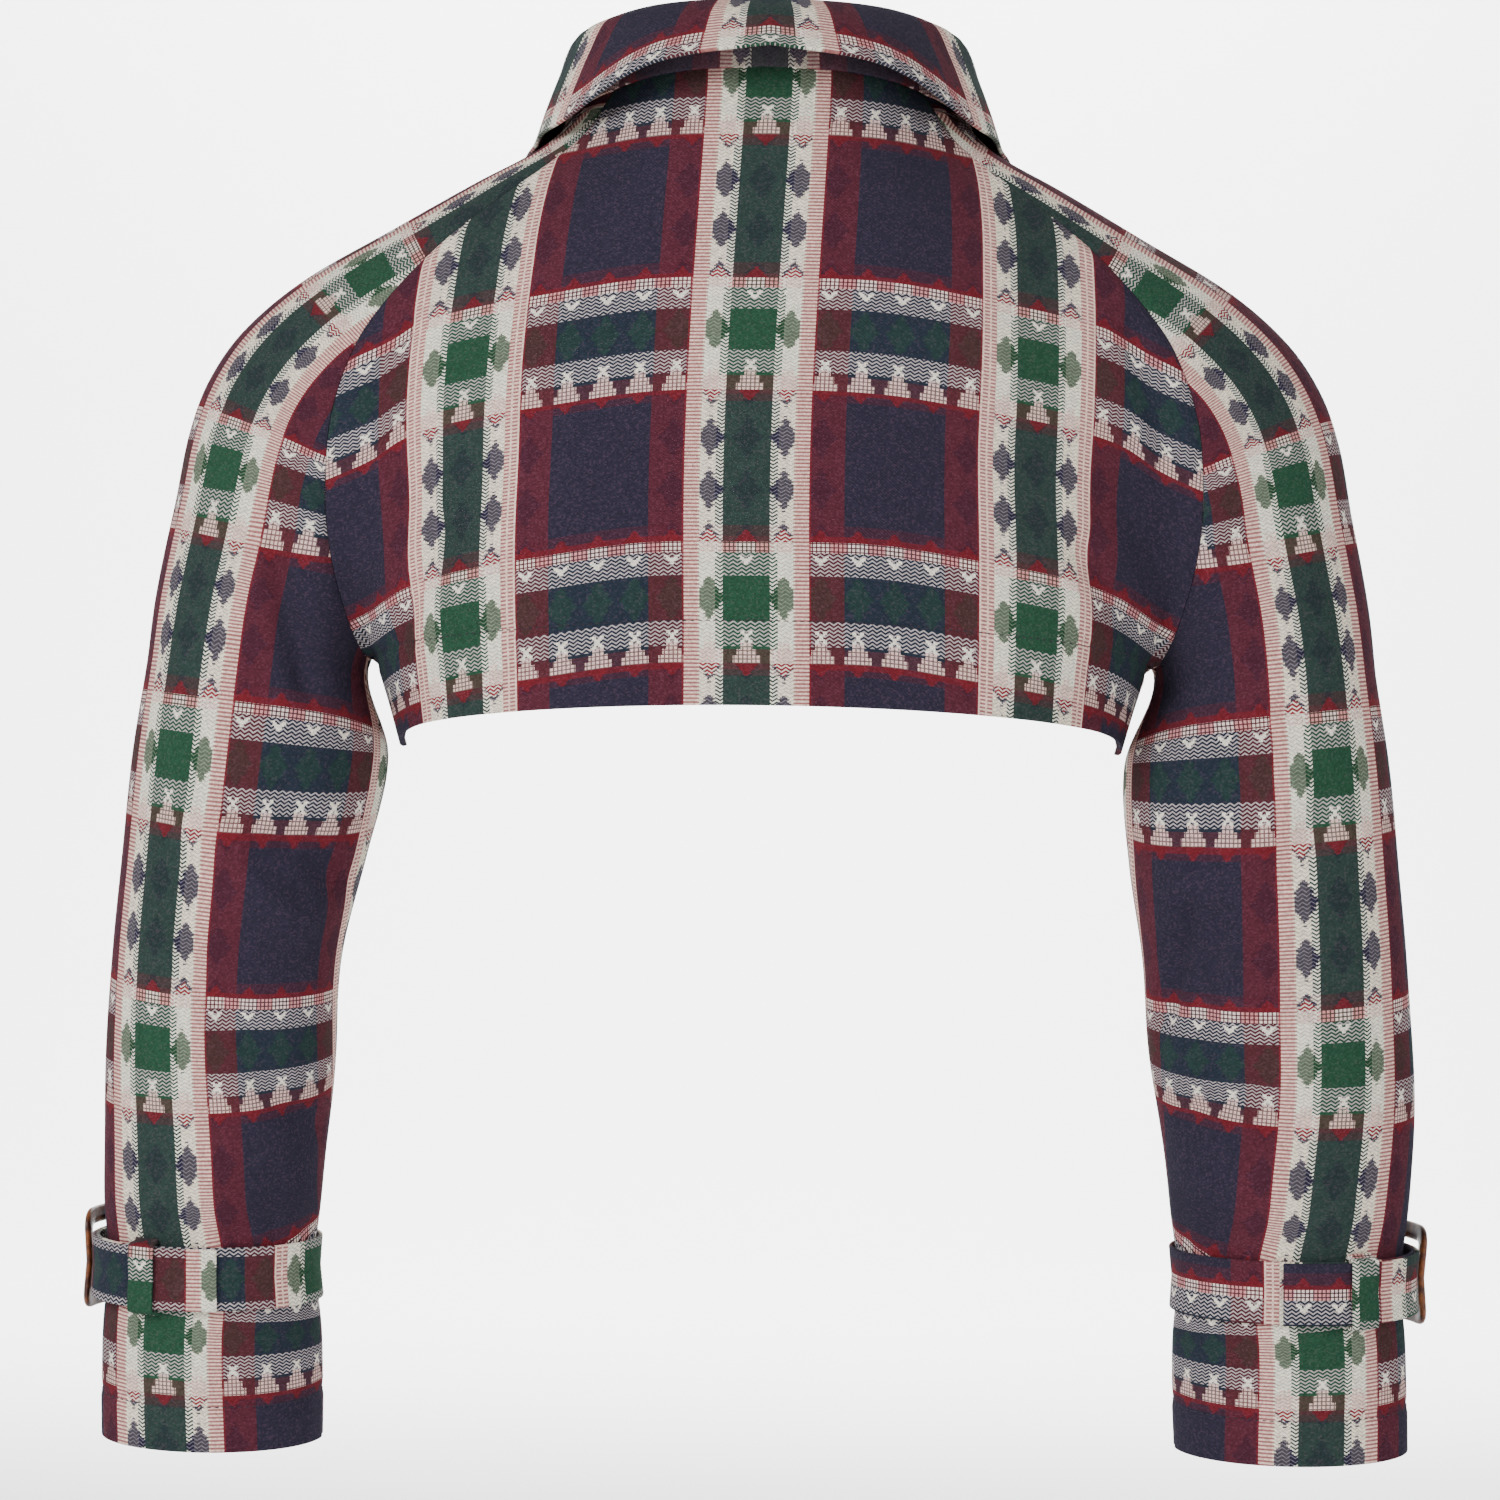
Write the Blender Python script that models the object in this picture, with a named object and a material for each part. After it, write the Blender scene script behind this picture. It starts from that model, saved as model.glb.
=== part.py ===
"""Bolero jacket: worn, open in front, raglan sleeves, turned-down collar, buckled cuff straps.

Metres, +Z up. The front faces -Y and the wearer's left is +X. The origin is the middle of the neck
base, where a wearer holds the garment. Each cut piece is a wall of cloth on one shared garment form.
"""
import math

import bmesh
import bpy
import numpy as np

MM = 0.001

# Cloth and seams, in millimetres
WALL = 2.0
SEAM_GAP = 0.3
STRAP_WALL = 2.0
STRAP_WIDTH = 30.0

# Body sections by height, in millimetres
TORSO_COLUMNS = ("z", "half_width", "back", "front")
TORSO = (
    (70, 73, 62, 58),
    (28, 77, 78, 74),
    (12, 84, 84, 80),
    (0, 90, 89, 84),
    (-12, 98, 93, 87),
    (-30, 113, 98, 90),
    (-58, 138, 104, 97),
    (-100, 168, 111, 109),
    (-150, 190, 117, 119),
    (-195, 199, 118, 125),
    (-233, 193, 117, 126),
    (-250, 183, 115.5, 125),
    (-264, 178, 114, 124),
    (-292, 170, 112, 120),
)
TORSO_SQUARENESS = 2.4

# Shoulder and arm sections by height: centre x and y, half width along x and along y
ARM_COLUMNS = ("z", "x", "y", "half_width", "half_depth")
ARM = (
    (20, 53, 0, 25, 26),
    (-3, 60, 0, 39, 38),
    (-21, 82, -1, 54, 46),
    (-45, 114, -2, 65, 51),
    (-69, 148, -3, 72, 54),
    (-93, 172, -3, 76, 57),
    (-116, 188, -3, 76, 59),
    (-140, 199, -3, 74, 60),
    (-176, 211, -3, 69, 60),
    (-200, 218, -3, 67, 59),
    (-223, 227, -2, 62, 58),
    (-250, 239, -1, 53, 56),
    (-294, 237, -1, 61, 56),
    (-342, 242, -4, 61, 54),
    (-390, 249, -9, 59, 52),
    (-437, 252, -15, 59, 50),
    (-484, 255, -22, 56, 47),
    (-508, 256, -26, 54.5, 46),
    (-538, 256.5, -31, 51.5, 43.5),
    (-570, 256.5, -36, 53.5, 44.5),
    (-640, 256.5, -46, 53.5, 44),
)

# How the worn sleeves differ below the underarm, in millimetres: moved outward, and wider each way
POSE_COLUMNS = ("z", "left_shift", "left_wider", "right_shift", "right_wider")
POSE = (
    (-250, 0, 0, 0, 0),
    (-294, 0.5, 0, -1, 2.2),
    (-351, 3, -3, -2, 3.6),
    (-408, 3.8, -4.2, -2.4, 4.4),
    (-465, 3.1, -3.1, 0, 3.8),
    (-522, 3.4, -2, 0, 2.4),
    (-579, 3, -0.5, 1.2, 2.8),
    (-640, 3, -0.5, 4, 2.6),
)

# How widely shoulder and body melt into each other, by height
BLEND_COLUMNS = ("z", "width")
BLEND = (
    (20, 30),
    (-60, 55),
    (-130, 55),
    (-170, 36),
    (-210, 20),
    (-250, 10),
)
SPLIT_TOP = -195
SPLIT_BOTTOM = -240

# Neckline height by plan angle from centre back, in degrees
NECK_COLUMNS = ("angle", "z")
NECK = (
    (0, 28),
    (30, 26),
    (60, 19),
    (90, 8),
    (120, -16),
    (150, -43),
    (180, -58),
)
NECK_ANGLE_BACK = 60
NECK_ANGLE_FRONT = 132
NECK_ANGLE_OPEN = 168

# Raglan seams from neckline to underarm, left side; y is settled on the form
SEAM_COLUMNS = ("x", "y", "z")
SEAM_BACK = (
    (89, 47, 0),
    (105, 48, -14),
    (119, 48, -26),
    (135, 48, -40),
    (152, 50, -54.6),
    (178, 54, -83),
    (189, 55, -100),
    (201, 56, -135),
    (204, 56, -165),
    (202, 52, -200),
    (197, 40, -228),
    (191, 22, -243),
)
SEAM_FRONT = (
    (84, -66, -34),
    (100, -66, -48),
    (120, -66, -66),
    (140, -65, -88),
    (158, -64, -114),
    (170, -62, -140),
    (180, -58, -170),
    (186, -50, -200),
    (189, -36, -226),
    (188, -18, -243),
)
UNDERARM = (185, 2, -250)
HEM_CORNER = (170, 0, -290)

NECK_SIDE_Z = 8
BACK_NECK_Z = 28
BACK_HEM_Z = -269
FRONT_HEM_Z = -262
FRONT_OPENING_TOP = 19
FRONT_OPENING_HEM = 34

# Collar by plan angle: roll line radius and height, fall edge radius and height
COLLAR_COLUMNS = ("angle", "roll_radius", "roll_z", "edge_angle", "edge_radius", "edge_z")
COLLAR = (
    (0, 79, 58, 0, 115, 34),
    (30, 79, 57, 29, 113, 26),
    (60, 80, 53, 58, 111, 4),
    (90, 86, 45, 86, 110.5, -5),
    (120, 94, 22, 112, 120, -34),
    (145, 97, -12, 133, 136, -66),
    (168, 97, -42, 151, 143, -92),
)
COLLAR_LIFT = 0.4
COLLAR_ROLL = 5.0
COLLAR_CLEAR = 1.5

# Largest folds: side of the cloth, start, end, half width and height; troughs are negative
FOLD_COLUMNS = ("side", "x1", "z1", "x2", "z2", "width", "height")
FOLDS = (
    (1, 214, -178, 205, -238, 12, 4.0),
    (1, 222, -318, 200, -352, 9, -4.0),
    (1, 262, -330, 215, -368, 12, 3.0),
    (1, -212, -176, -203, -240, 12, 4.0),
    (1, -213, -366, -207, -414, 9, -4.0),
    (1, -236, -300, -205, -330, 11, -3.5),
    (-1, 212, -190, 206, -240, 12, 4.0),
    (-1, 236, -330, 205, -356, 10, -4.0),
    (-1, -214, -186, -206, -240, 12, 4.0),
    (-1, -240, -340, -208, -372, 10, -4.0),
    (1, 60, -120, 150, -180, 24, -3.0),
    (1, -55, -128, -150, -176, 24, -3.0),
)

# Sleeve, panel and strap divisions
UPPER_ROWS = 12
SIDE_ROWS = 2
ARM_ROWS = 10
CUFF_ROWS = 2
SLEEVE_COLUMNS = 24
BACK_COLUMNS = 18
FRONT_COLUMNS = 9
COLLAR_COLUMNS_COUNT = 44

# Cuff: edge of the sleeve, strap, belt loop and buckle
CUFF_SIDE_Z = -621.5
CUFF_TILT = 0.12
CUFF_RADIUS = 56.0
STRAP_Z = -539
STRAP_STEP = 7.5
STRAP_TAIL = 97.5
STRAP_RISE_START = 25.5
STRAP_RISE = 15.0
STRAP_LOOSE = 2.4
LOOP_START = 45
LOOP_END = 60
LOOP_HEIGHT = 37
BUCKLE_CENTRE = -22.5
BUCKLE_LENGTH = 42
BUCKLE_HEIGHT = 50
BUCKLE_RAIL = 8
BUCKLE_THICKNESS = 3.6
BUCKLE_BAR = 5
BUCKLE_ROUNDING = 6
# Section of the buckle's frame: places across the rail and up through its thickness, as shares
BUCKLE_SECTION = ((-0.5, 0.2), (-0.5, 0.75), (-0.3, 1), (0.3, 1), (0.5, 0.75), (0.5, 0.2), (0.35, 0.08),
                  (-0.35, 0.08))

CLOTH_COLOUR = (0.042, 0.034, 0.060)
BUCKLE_COLOUR = (0.11, 0.045, 0.02)


def smooth_curve(xs, ys, x):
    """Read a smooth curve through table points, as a cubic with averaged slopes."""
    xs = np.asarray(xs, float)
    ys = np.asarray(ys, float)
    if xs[0] > xs[-1]:
        xs, ys = xs[::-1], ys[::-1]
    steps = np.diff(ys) / np.diff(xs)
    slopes = np.concatenate(([steps[0]], (steps[:-1] + steps[1:]) / 2, [steps[-1]]))
    x = np.clip(x, xs[0], xs[-1])
    i = np.clip(np.searchsorted(xs, x) - 1, 0, len(xs) - 2)
    h = xs[i + 1] - xs[i]
    t = (x - xs[i]) / h
    return (ys[i] * (1 + 2 * t) * (1 - t) ** 2 + slopes[i] * h * t * (1 - t) ** 2
            + ys[i + 1] * t * t * (3 - 2 * t) + slopes[i + 1] * h * t * t * (t - 1))


def read(table, columns, name, x):
    """Read one named column of a table at x, which runs along its first column."""
    rows = np.array(table, float)
    return smooth_curve(rows[:, 0], rows[:, columns.index(name)], x)


def torso_distance(p):
    z = p[..., 2]
    a = read(TORSO, TORSO_COLUMNS, "half_width", z)
    back = read(TORSO, TORSO_COLUMNS, "back", z)
    front = read(TORSO, TORSO_COLUMNS, "front", z)
    b = np.where(p[..., 1] > 0, back, front)
    n = TORSO_SQUARENESS
    q = ((np.abs(p[..., 0]) / a) ** n + (np.abs(p[..., 1]) / b) ** n) ** (1 / n)
    return (q - 1) * np.sqrt(a * b)


def arm_distance(p):
    z = p[..., 2]
    a = read(ARM, ARM_COLUMNS, "half_width", z)
    b = read(ARM, ARM_COLUMNS, "half_depth", z)
    dx = (np.abs(p[..., 0]) - read(ARM, ARM_COLUMNS, "x", z)) / a
    dy = (p[..., 1] - read(ARM, ARM_COLUMNS, "y", z)) / b
    return (np.sqrt(dx * dx + dy * dy) - 1) * np.sqrt(a * b)


def melted(p):
    """Distance to body and arm melted into one form."""
    body = torso_distance(p)
    arm = arm_distance(p)
    width = read(BLEND, BLEND_COLUMNS, "width", p[..., 2])
    h = np.clip(width - np.abs(body - arm), 0, None) / width
    return np.minimum(body, arm) - h * h * width / 4


def joined_share(p):
    """1 where body and sleeve are one form, 0 below the underarm, where they part."""
    t = np.clip((p[..., 2] - SPLIT_BOTTOM) / (SPLIT_TOP - SPLIT_BOTTOM), 0, 1)
    return t * t * (3 - 2 * t)


def body_form(p):
    share = joined_share(p)
    return share * melted(p) + (1 - share) * torso_distance(p)


def sleeve_form(p):
    share = joined_share(p)
    return share * melted(p) + (1 - share) * arm_distance(p)


def gradient(form, p, step=1.0):
    parts = []
    for axis in range(3):
        shift = np.zeros(3)
        shift[axis] = step
        parts.append((form(p + shift) - form(p - shift)) / (2 * step))
    return np.stack(parts, axis=-1)


def outward(form, p):
    g = gradient(form, p)
    return g / np.linalg.norm(g, axis=-1, keepdims=True)


def settle(form, p, height=0.0, rounds=12):
    """Move points to the form's surface, or to a height above it, by the shortest way."""
    for _ in range(rounds):
        g = gradient(form, p)
        off = form(p) - height
        p = p - g * (off / (g * g).sum(-1))[..., None]
    return p


def cast(form, start, toward, reach=240.0, samples=97):
    """Where rays from inside the form leave it."""
    direction = toward - start
    direction = direction / np.linalg.norm(direction, axis=-1, keepdims=True)
    t = np.linspace(0, reach, samples)
    line = start[..., None, :] + direction[..., None, :] * t[:, None]
    outside = form(line) > 0
    first = np.argmax(outside, axis=-1)
    low = t[np.clip(first - 1, 0, None)]
    high = t[first]
    for _ in range(24):
        middle = (low + high) / 2
        out = form(start + direction * middle[..., None]) > 0
        high = np.where(out, middle, high)
        low = np.where(out, low, middle)
    return start + direction * high[..., None]


def fold_height(p, normal):
    """How far the largest folds lift the cloth at p."""
    total = np.zeros(p.shape[:-1])
    for row in FOLDS:
        fold = dict(zip(FOLD_COLUMNS, row))
        start = np.array((fold["x1"], fold["z1"]), float)
        along = np.array((fold["x2"], fold["z2"]), float) - start
        offset = p[..., (0, 2)] - start
        t = np.clip((offset @ along) / (along @ along), 0, 1)
        distance = np.linalg.norm(offset - t[..., None] * along, axis=-1)
        facing = np.clip(normal[..., 1] * fold["side"] * 1.5, 0, 1)
        total += fold["height"] * facing * np.exp(-(distance / fold["width"]) ** 2)
    return total


def neckline(angle):
    """Points of the neckline at plan angles from centre back, in degrees."""
    angle = np.asarray(angle, float)
    z = read(NECK, NECK_COLUMNS, "z", np.abs(angle))
    start = np.stack((np.zeros_like(z), np.zeros_like(z), z), axis=-1)
    turn = np.radians(angle)
    direction = np.stack((np.sin(turn), np.cos(turn), np.zeros_like(z)), axis=-1)
    return cast(melted, start, start + direction)


def along_points(points, fractions):
    """Read a smooth line through points at fractions of its length."""
    points = np.asarray(points, float)
    length = np.concatenate(([0], np.cumsum(np.linalg.norm(np.diff(points, axis=0), axis=1))))
    length /= length[-1]
    return np.stack([smooth_curve(length, points[:, k], fractions) for k in range(3)], axis=-1)


def raglan_seam(table, neck_angle, rows):
    """Points of a raglan seam on the form, from the neckline to the underarm."""
    inner = settle(melted, np.array(table, float))
    whole = np.concatenate((neckline([neck_angle]), inner, [UNDERARM]))
    return along_points(whole, np.linspace(0, 1, rows + 1))


def side_seam(rows):
    """Points of the side seam, from the underarm to the hem corner."""
    t = np.linspace(0, 1, rows + 1)[:, None]
    line = np.array(UNDERARM, float) * (1 - t) + np.array(HEM_CORNER, float) * t
    line[1:] = settle(torso_distance, line[1:])
    return line


def panel_rows(edge, centre_z, centre_x, columns, neck_angles, back):
    """Rows of a body panel between its centre line and its outer edge."""
    rows = len(edge)
    u = np.linspace(0, 1, columns + 1)
    grid = np.zeros((rows, columns + 1, 3))
    side = 1 if back else -1
    depth_name = "back" if back else "front"
    for j in range(rows):
        if j == 0:
            grid[j] = neckline(np.linspace(neck_angles[0], neck_angles[1], columns + 1))
            continue
        end = edge[j]
        z = centre_z[j] + (end[2] - centre_z[j]) * u ** 2
        depth = read(TORSO, TORSO_COLUMNS, depth_name, z)
        turn_end = math.atan2(abs(end[0]), max(abs(end[1]), 4.0))
        turn_start = math.atan2(centre_x[j], depth[0])
        turn = turn_start + (turn_end - turn_start) * u
        x = end[0] * np.sin(turn) / math.sin(turn_end)
        arch = (np.cos(turn) - math.cos(turn_end)) / (1 - math.cos(turn_end))
        y = end[1] + (side * depth - end[1]) * arch
        guide = np.stack((x, y, z), axis=-1)
        start = np.stack((0.55 * x, 0 * y, z), axis=-1)
        grid[j] = cast(body_form, start, guide)
        grid[j, -1] = end
    return grid


def edge_normals(seam):
    """Wall directions at a seam, shared by the pieces that meet there."""
    normal = outward(melted, seam)
    normal[-1] = (0, 0, -1)
    return normal


def sleeve_ring(centre, out, across, angles):
    """Points where a fan of rays leaves the sleeve."""
    turn = np.radians(angles)[:, None]
    direction = np.cos(turn) * out + np.sin(turn) * across
    start = np.repeat(centre[None], len(angles), axis=0)
    return cast(sleeve_form, start, start + direction)


def fan(centre, ridge, edge, columns):
    """Half a sleeve row, from the ridge round to one seam."""
    out = ridge - centre
    out = out / np.linalg.norm(out)
    to_edge = edge - centre
    across = to_edge - out * (to_edge @ out)
    across = across / np.linalg.norm(across)
    end = math.degrees(math.atan2(to_edge @ across, to_edge @ out))
    points = sleeve_ring(centre, out, across, np.linspace(0, end, columns + 1))
    points[-1] = edge
    return points


def arm_centre(z):
    return np.array((read(ARM, ARM_COLUMNS, "x", z), read(ARM, ARM_COLUMNS, "y", z), z))


def tilted_ring(form, side_z, angles):
    """A ring round the sleeve, lower at the back as the forearm leans; angles start at the outer side."""
    centre = arm_centre(float(side_z))
    lean = CUFF_TILT * (side_z - UNDERARM[2]) / (CUFF_SIDE_Z - UNDERARM[2])
    across = np.array((0, 1.0, -lean)) / math.hypot(1, lean)
    turn = np.radians(angles)[:, None]
    direction = np.cos(turn) * np.array((1.0, 0, 0)) + np.sin(turn) * across
    start = np.repeat(centre[None], len(angles), axis=0)
    return cast(form, start, start + direction)


def sleeve_levels():
    """Heights of the rings below the underarm, three of them where the loop and strap lie."""
    reach = LOOP_HEIGHT / 2
    upper = np.linspace(UNDERARM[2], STRAP_Z + reach, ARM_ROWS + 1)
    lower = np.linspace(STRAP_Z - reach, CUFF_SIDE_Z, CUFF_ROWS + 1)
    return np.concatenate((upper, [STRAP_Z], lower))


def sleeve_grid(seam_back, seam_front):
    """The left sleeve: rows from neckline to cuff, columns from front seam over the arm to back."""
    half = SLEEVE_COLUMNS // 2
    ridge_z = np.linspace(NECK_SIDE_Z, UNDERARM[2], 40)
    ridge_x = read(ARM, ARM_COLUMNS, "x", ridge_z) + read(ARM, ARM_COLUMNS, "half_width", ridge_z)
    ridge_y = read(ARM, ARM_COLUMNS, "y", ridge_z)
    ridge = np.stack((ridge_x, ridge_y, ridge_z), axis=-1)
    ridge = along_points(ridge, np.linspace(0, 1, UPPER_ROWS + 1))
    rows = [neckline(np.linspace(NECK_ANGLE_FRONT, NECK_ANGLE_BACK, SLEEVE_COLUMNS + 1))]
    for j in range(1, UPPER_ROWS):
        middle = (seam_back[j] + seam_front[j]) / 2
        centre = middle + (ridge[j] - middle) * 0.5 * (j / UPPER_ROWS)
        to_back = fan(centre, ridge[j], seam_back[j], half)
        to_front = fan(centre, ridge[j], seam_front[j], half)
        rows.append(np.concatenate((to_front[::-1], to_back[1:])))
    angles = np.linspace(-180, 180, SLEEVE_COLUMNS + 1)
    for level in sleeve_levels():
        rows.append(tilted_ring(sleeve_form, level, angles))
    rows[UPPER_ROWS][0] = UNDERARM
    rows[UPPER_ROWS][-1] = UNDERARM
    return np.array(rows)


def pull_from_edges(grid, sides, gap):
    """Draw the named edges of a grid back by half a seam gap, along the cloth."""
    grid = grid.copy()
    moves = {"first_column": (np.s_[:, 0], np.s_[:, 1]), "last_column": (np.s_[:, -1], np.s_[:, -2])}
    for name in sides:
        at, inner = moves[name]
        step = grid[inner] - grid[at]
        grid[at] = grid[at] + step / np.linalg.norm(step, axis=-1, keepdims=True) * gap / 2
    return grid


def mirrored(grid):
    """The same grid for the other side of the garment, its columns reversed to face outward."""
    return (grid * np.array((-1.0, 1, 1)))[:, ::-1]


def posed(grid, side):
    """Points of the left sleeve, or of what lies on it, as they hang on the named side."""
    z = grid[..., 2]
    centre = read(ARM, ARM_COLUMNS, "x", z)
    wider = read(POSE, POSE_COLUMNS, f"{side}_wider", z) / read(ARM, ARM_COLUMNS, "half_width", z)
    moved = grid.copy()
    moved[..., 0] += (grid[..., 0] - centre) * wider + read(POSE, POSE_COLUMNS, f"{side}_shift", z)
    return moved


def grid_normals(grid):
    """Normals of a grid from its own points."""
    down = np.gradient(grid, axis=0)
    along = np.gradient(grid, axis=1)
    normal = np.cross(down, along)
    return normal / np.linalg.norm(normal, axis=-1, keepdims=True)


def material(name, colour, roughness):
    made = bpy.data.materials.get(name) or bpy.data.materials.new(name)
    made.use_nodes = True
    shader = made.node_tree.nodes["Principled BSDF"]
    shader.inputs["Base Color"].default_value = (*colour, 1)
    shader.inputs["Roughness"].default_value = roughness
    return made


def walled(name, outer, inner, colour=CLOTH_COLOUR, roughness=0.9):
    """A closed wall of cloth between two grids of points."""
    rows, columns = outer.shape[:2]
    bm = bmesh.new()
    bmesh.ops.create_grid(bm, x_segments=columns - 1, y_segments=rows - 1, size=1)
    made = bmesh.ops.extrude_face_region(bm, geom=bm.faces[:], use_keep_orig=True)
    moved = {v for v in made["geom"] if isinstance(v, bmesh.types.BMVert)}
    for vert in bm.verts:
        i = round((vert.co.x + 1) / 2 * (columns - 1))
        j = round((vert.co.y + 1) / 2 * (rows - 1))
        vert.co = (inner if vert in moved else outer)[j, i] * MM
    bmesh.ops.triangulate(bm, faces=bm.faces[:])
    return finished(name, bm, colour, roughness)


def finished(name, bm, colour, roughness):
    bmesh.ops.recalc_face_normals(bm, faces=bm.faces[:])
    if bm.calc_volume(signed=True) < 0:
        bmesh.ops.reverse_faces(bm, faces=bm.faces[:])
    mesh = bpy.data.meshes.new(name)
    bm.to_mesh(mesh)
    bm.free()
    mesh.shade_smooth()
    mesh.set_sharp_from_angle(angle=math.radians(40))
    mesh.materials.append(material(name.rsplit("_", 1)[0], colour, roughness))
    obj = bpy.data.objects.new(name, mesh)
    bpy.context.scene.collection.objects.link(obj)
    return obj


def cloth_piece(name, grid, normals, pulled):
    """A panel: its points on the form, lifted by the folds, its edges drawn back for the seams."""
    outer = pull_from_edges(grid + normals * fold_height(grid, normals)[..., None], pulled, SEAM_GAP)
    return walled(name, outer, outer - normals * WALL)


def build_body(seam_back, seam_front, side):
    edge_back = np.concatenate((seam_back, side[1:]))
    edge_front = np.concatenate((seam_front, side[1:]))
    length = np.linalg.norm(np.diff(edge_back, axis=0), axis=1)
    share = np.concatenate(([0], np.cumsum(length))) / length.sum()
    centre_z = BACK_NECK_Z + (BACK_HEM_Z - BACK_NECK_Z) * share
    centre_z_front = neckline([NECK_ANGLE_OPEN])[0, 2] * (1 - share) + FRONT_HEM_Z * share
    opening = FRONT_OPENING_TOP + (FRONT_OPENING_HEM - FRONT_OPENING_TOP) * share

    half = panel_rows(edge_back, centre_z, 0 * share, BACK_COLUMNS // 2, (0, NECK_ANGLE_BACK), True)
    normal = outward(body_form, half)
    normal[:UPPER_ROWS + 1, -1] = edge_normals(seam_back)
    back = np.concatenate((mirrored(half)[:, :-1], half), axis=1)
    back_normal = np.concatenate((mirrored(normal)[:, :-1], normal), axis=1)
    cloth_piece("back", back, back_normal, ("first_column", "last_column"))

    angles = (NECK_ANGLE_OPEN, NECK_ANGLE_FRONT)
    front = panel_rows(edge_front, centre_z_front, opening, FRONT_COLUMNS, angles, False)
    normal = outward(body_form, front)
    normal[:UPPER_ROWS + 1, -1] = edge_normals(seam_front)
    cloth_piece("front_left", front[:, ::-1], normal[:, ::-1], ("first_column",))
    cloth_piece("front_right", mirrored(front)[:, ::-1], mirrored(normal)[:, ::-1], ("last_column",))


def build_sleeves(seam_back, seam_front):
    grid = sleeve_grid(seam_back, seam_front)
    normal = outward(sleeve_form, grid)
    normal[:UPPER_ROWS + 1, -1] = edge_normals(seam_back)
    normal[:UPPER_ROWS + 1, 0] = edge_normals(seam_front)
    edges = ("first_column", "last_column")
    cloth_piece("sleeve_left", posed(grid, "left"), normal, edges)
    cloth_piece("sleeve_right", mirrored(posed(grid, "right")), mirrored(normal), edges)


def collar_section(neck, roll, edge):
    """Points of one collar section: up the stand, over the roll, down the fall."""
    out = (edge - roll) * (1, 1, 0)
    out = out / np.linalg.norm(out)
    drop = edge - roll
    fall = np.linalg.norm(drop)
    up = np.array((0, 0, 1.0))
    shoulder = roll + out * COLLAR_ROLL * 1.4 - up * COLLAR_ROLL * 0.35
    return (neck, neck * 0.5 + roll * 0.5 - out * 1.5, roll * 0.88 + neck * 0.12 - out * 1.2,
            roll + out * COLLAR_ROLL * 0.35, shoulder,
            roll + drop * 0.45 + up * fall * 0.10 + out * 2.0,
            roll + drop * 0.72 + up * fall * 0.05 + out * 1.5, edge)


def build_collar():
    angles = np.linspace(-NECK_ANGLE_OPEN, NECK_ANGLE_OPEN, COLLAR_COLUMNS_COUNT + 1)
    base = neckline(angles)
    columns = []
    for angle, neck in zip(angles, base):
        sign = math.copysign(1, angle)
        row = {name: float(read(COLLAR, COLLAR_COLUMNS, name, abs(angle))) for name in COLLAR_COLUMNS}
        turn = math.radians(angle)
        edge_turn = math.radians(sign * row["edge_angle"])
        roll = np.array((math.sin(turn) * row["roll_radius"], math.cos(turn) * row["roll_radius"],
                         row["roll_z"]))
        edge = np.array((math.sin(edge_turn) * row["edge_radius"],
                         math.cos(edge_turn) * row["edge_radius"], row["edge_z"]))
        upward = (roll - neck) / np.linalg.norm(roll - neck)
        columns.append(collar_section(neck + upward * COLLAR_LIFT, roll, edge))
    grid = np.array(columns).transpose(1, 0, 2)
    fall = grid[4:]
    low = melted(fall) < COLLAR_CLEAR + WALL / 2
    lifted = settle(melted, fall, COLLAR_CLEAR + WALL / 2, rounds=6)
    grid[4:] = np.where(low[..., None], lifted, fall)
    normal = grid_normals(grid)
    walled("collar", grid + normal * WALL / 2, grid - normal * WALL / 2)


def strap_lift(angles):
    """How far the strap stands off the sleeve at angles from the outer side."""
    return SEAM_GAP + STRAP_LOOSE * np.clip(np.cos(np.radians(angles)), 0, 1) ** 1.5


def on_cuff(angles, heights, lifts):
    """Points on the left cuff: angle round it, height above the strap's middle, lift off the cloth."""
    angles, heights, lifts = np.broadcast_arrays(*(np.asarray(a, float) for a in (angles, heights, lifts)))
    reach = LOOP_HEIGHT / 2
    flat = angles.ravel()
    middle, top, bottom = (tilted_ring(arm_distance, STRAP_Z + h, flat) for h in (0, reach, -reach))
    height = heights.ravel()[:, None]
    points = middle + (np.where(height > 0, top, bottom) - middle) * np.abs(height) / reach
    points = points + outward(arm_distance, points) * lifts.ravel()[:, None]
    return points.reshape(angles.shape + (3,))


def build_strap():
    """The left strap: once round from the buckle's bar, then through the buckle and over itself."""
    layer = STRAP_WALL + SEAM_GAP
    start = BUCKLE_CENTRE + math.degrees((BUCKLE_BAR / 2 + SEAM_GAP) / CUFF_RADIUS)
    even = np.arange(-90, 720, STRAP_STEP)
    travel = np.concatenate(([start], even[(even > start + 1) & (even <= 360 + STRAP_TAIL)]))
    heights = np.array((STRAP_WIDTH / 2, 0, -STRAP_WIDTH / 2))[:, None]
    rise = np.clip((travel - (BUCKLE_CENTRE + 360 - STRAP_RISE_START)) / STRAP_RISE, 0, 1)
    lift = strap_lift(travel) + rise * layer
    around = (travel + 180) % 360 - 180
    return on_cuff(around, heights, lift + STRAP_WALL), on_cuff(around, heights, lift)


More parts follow.
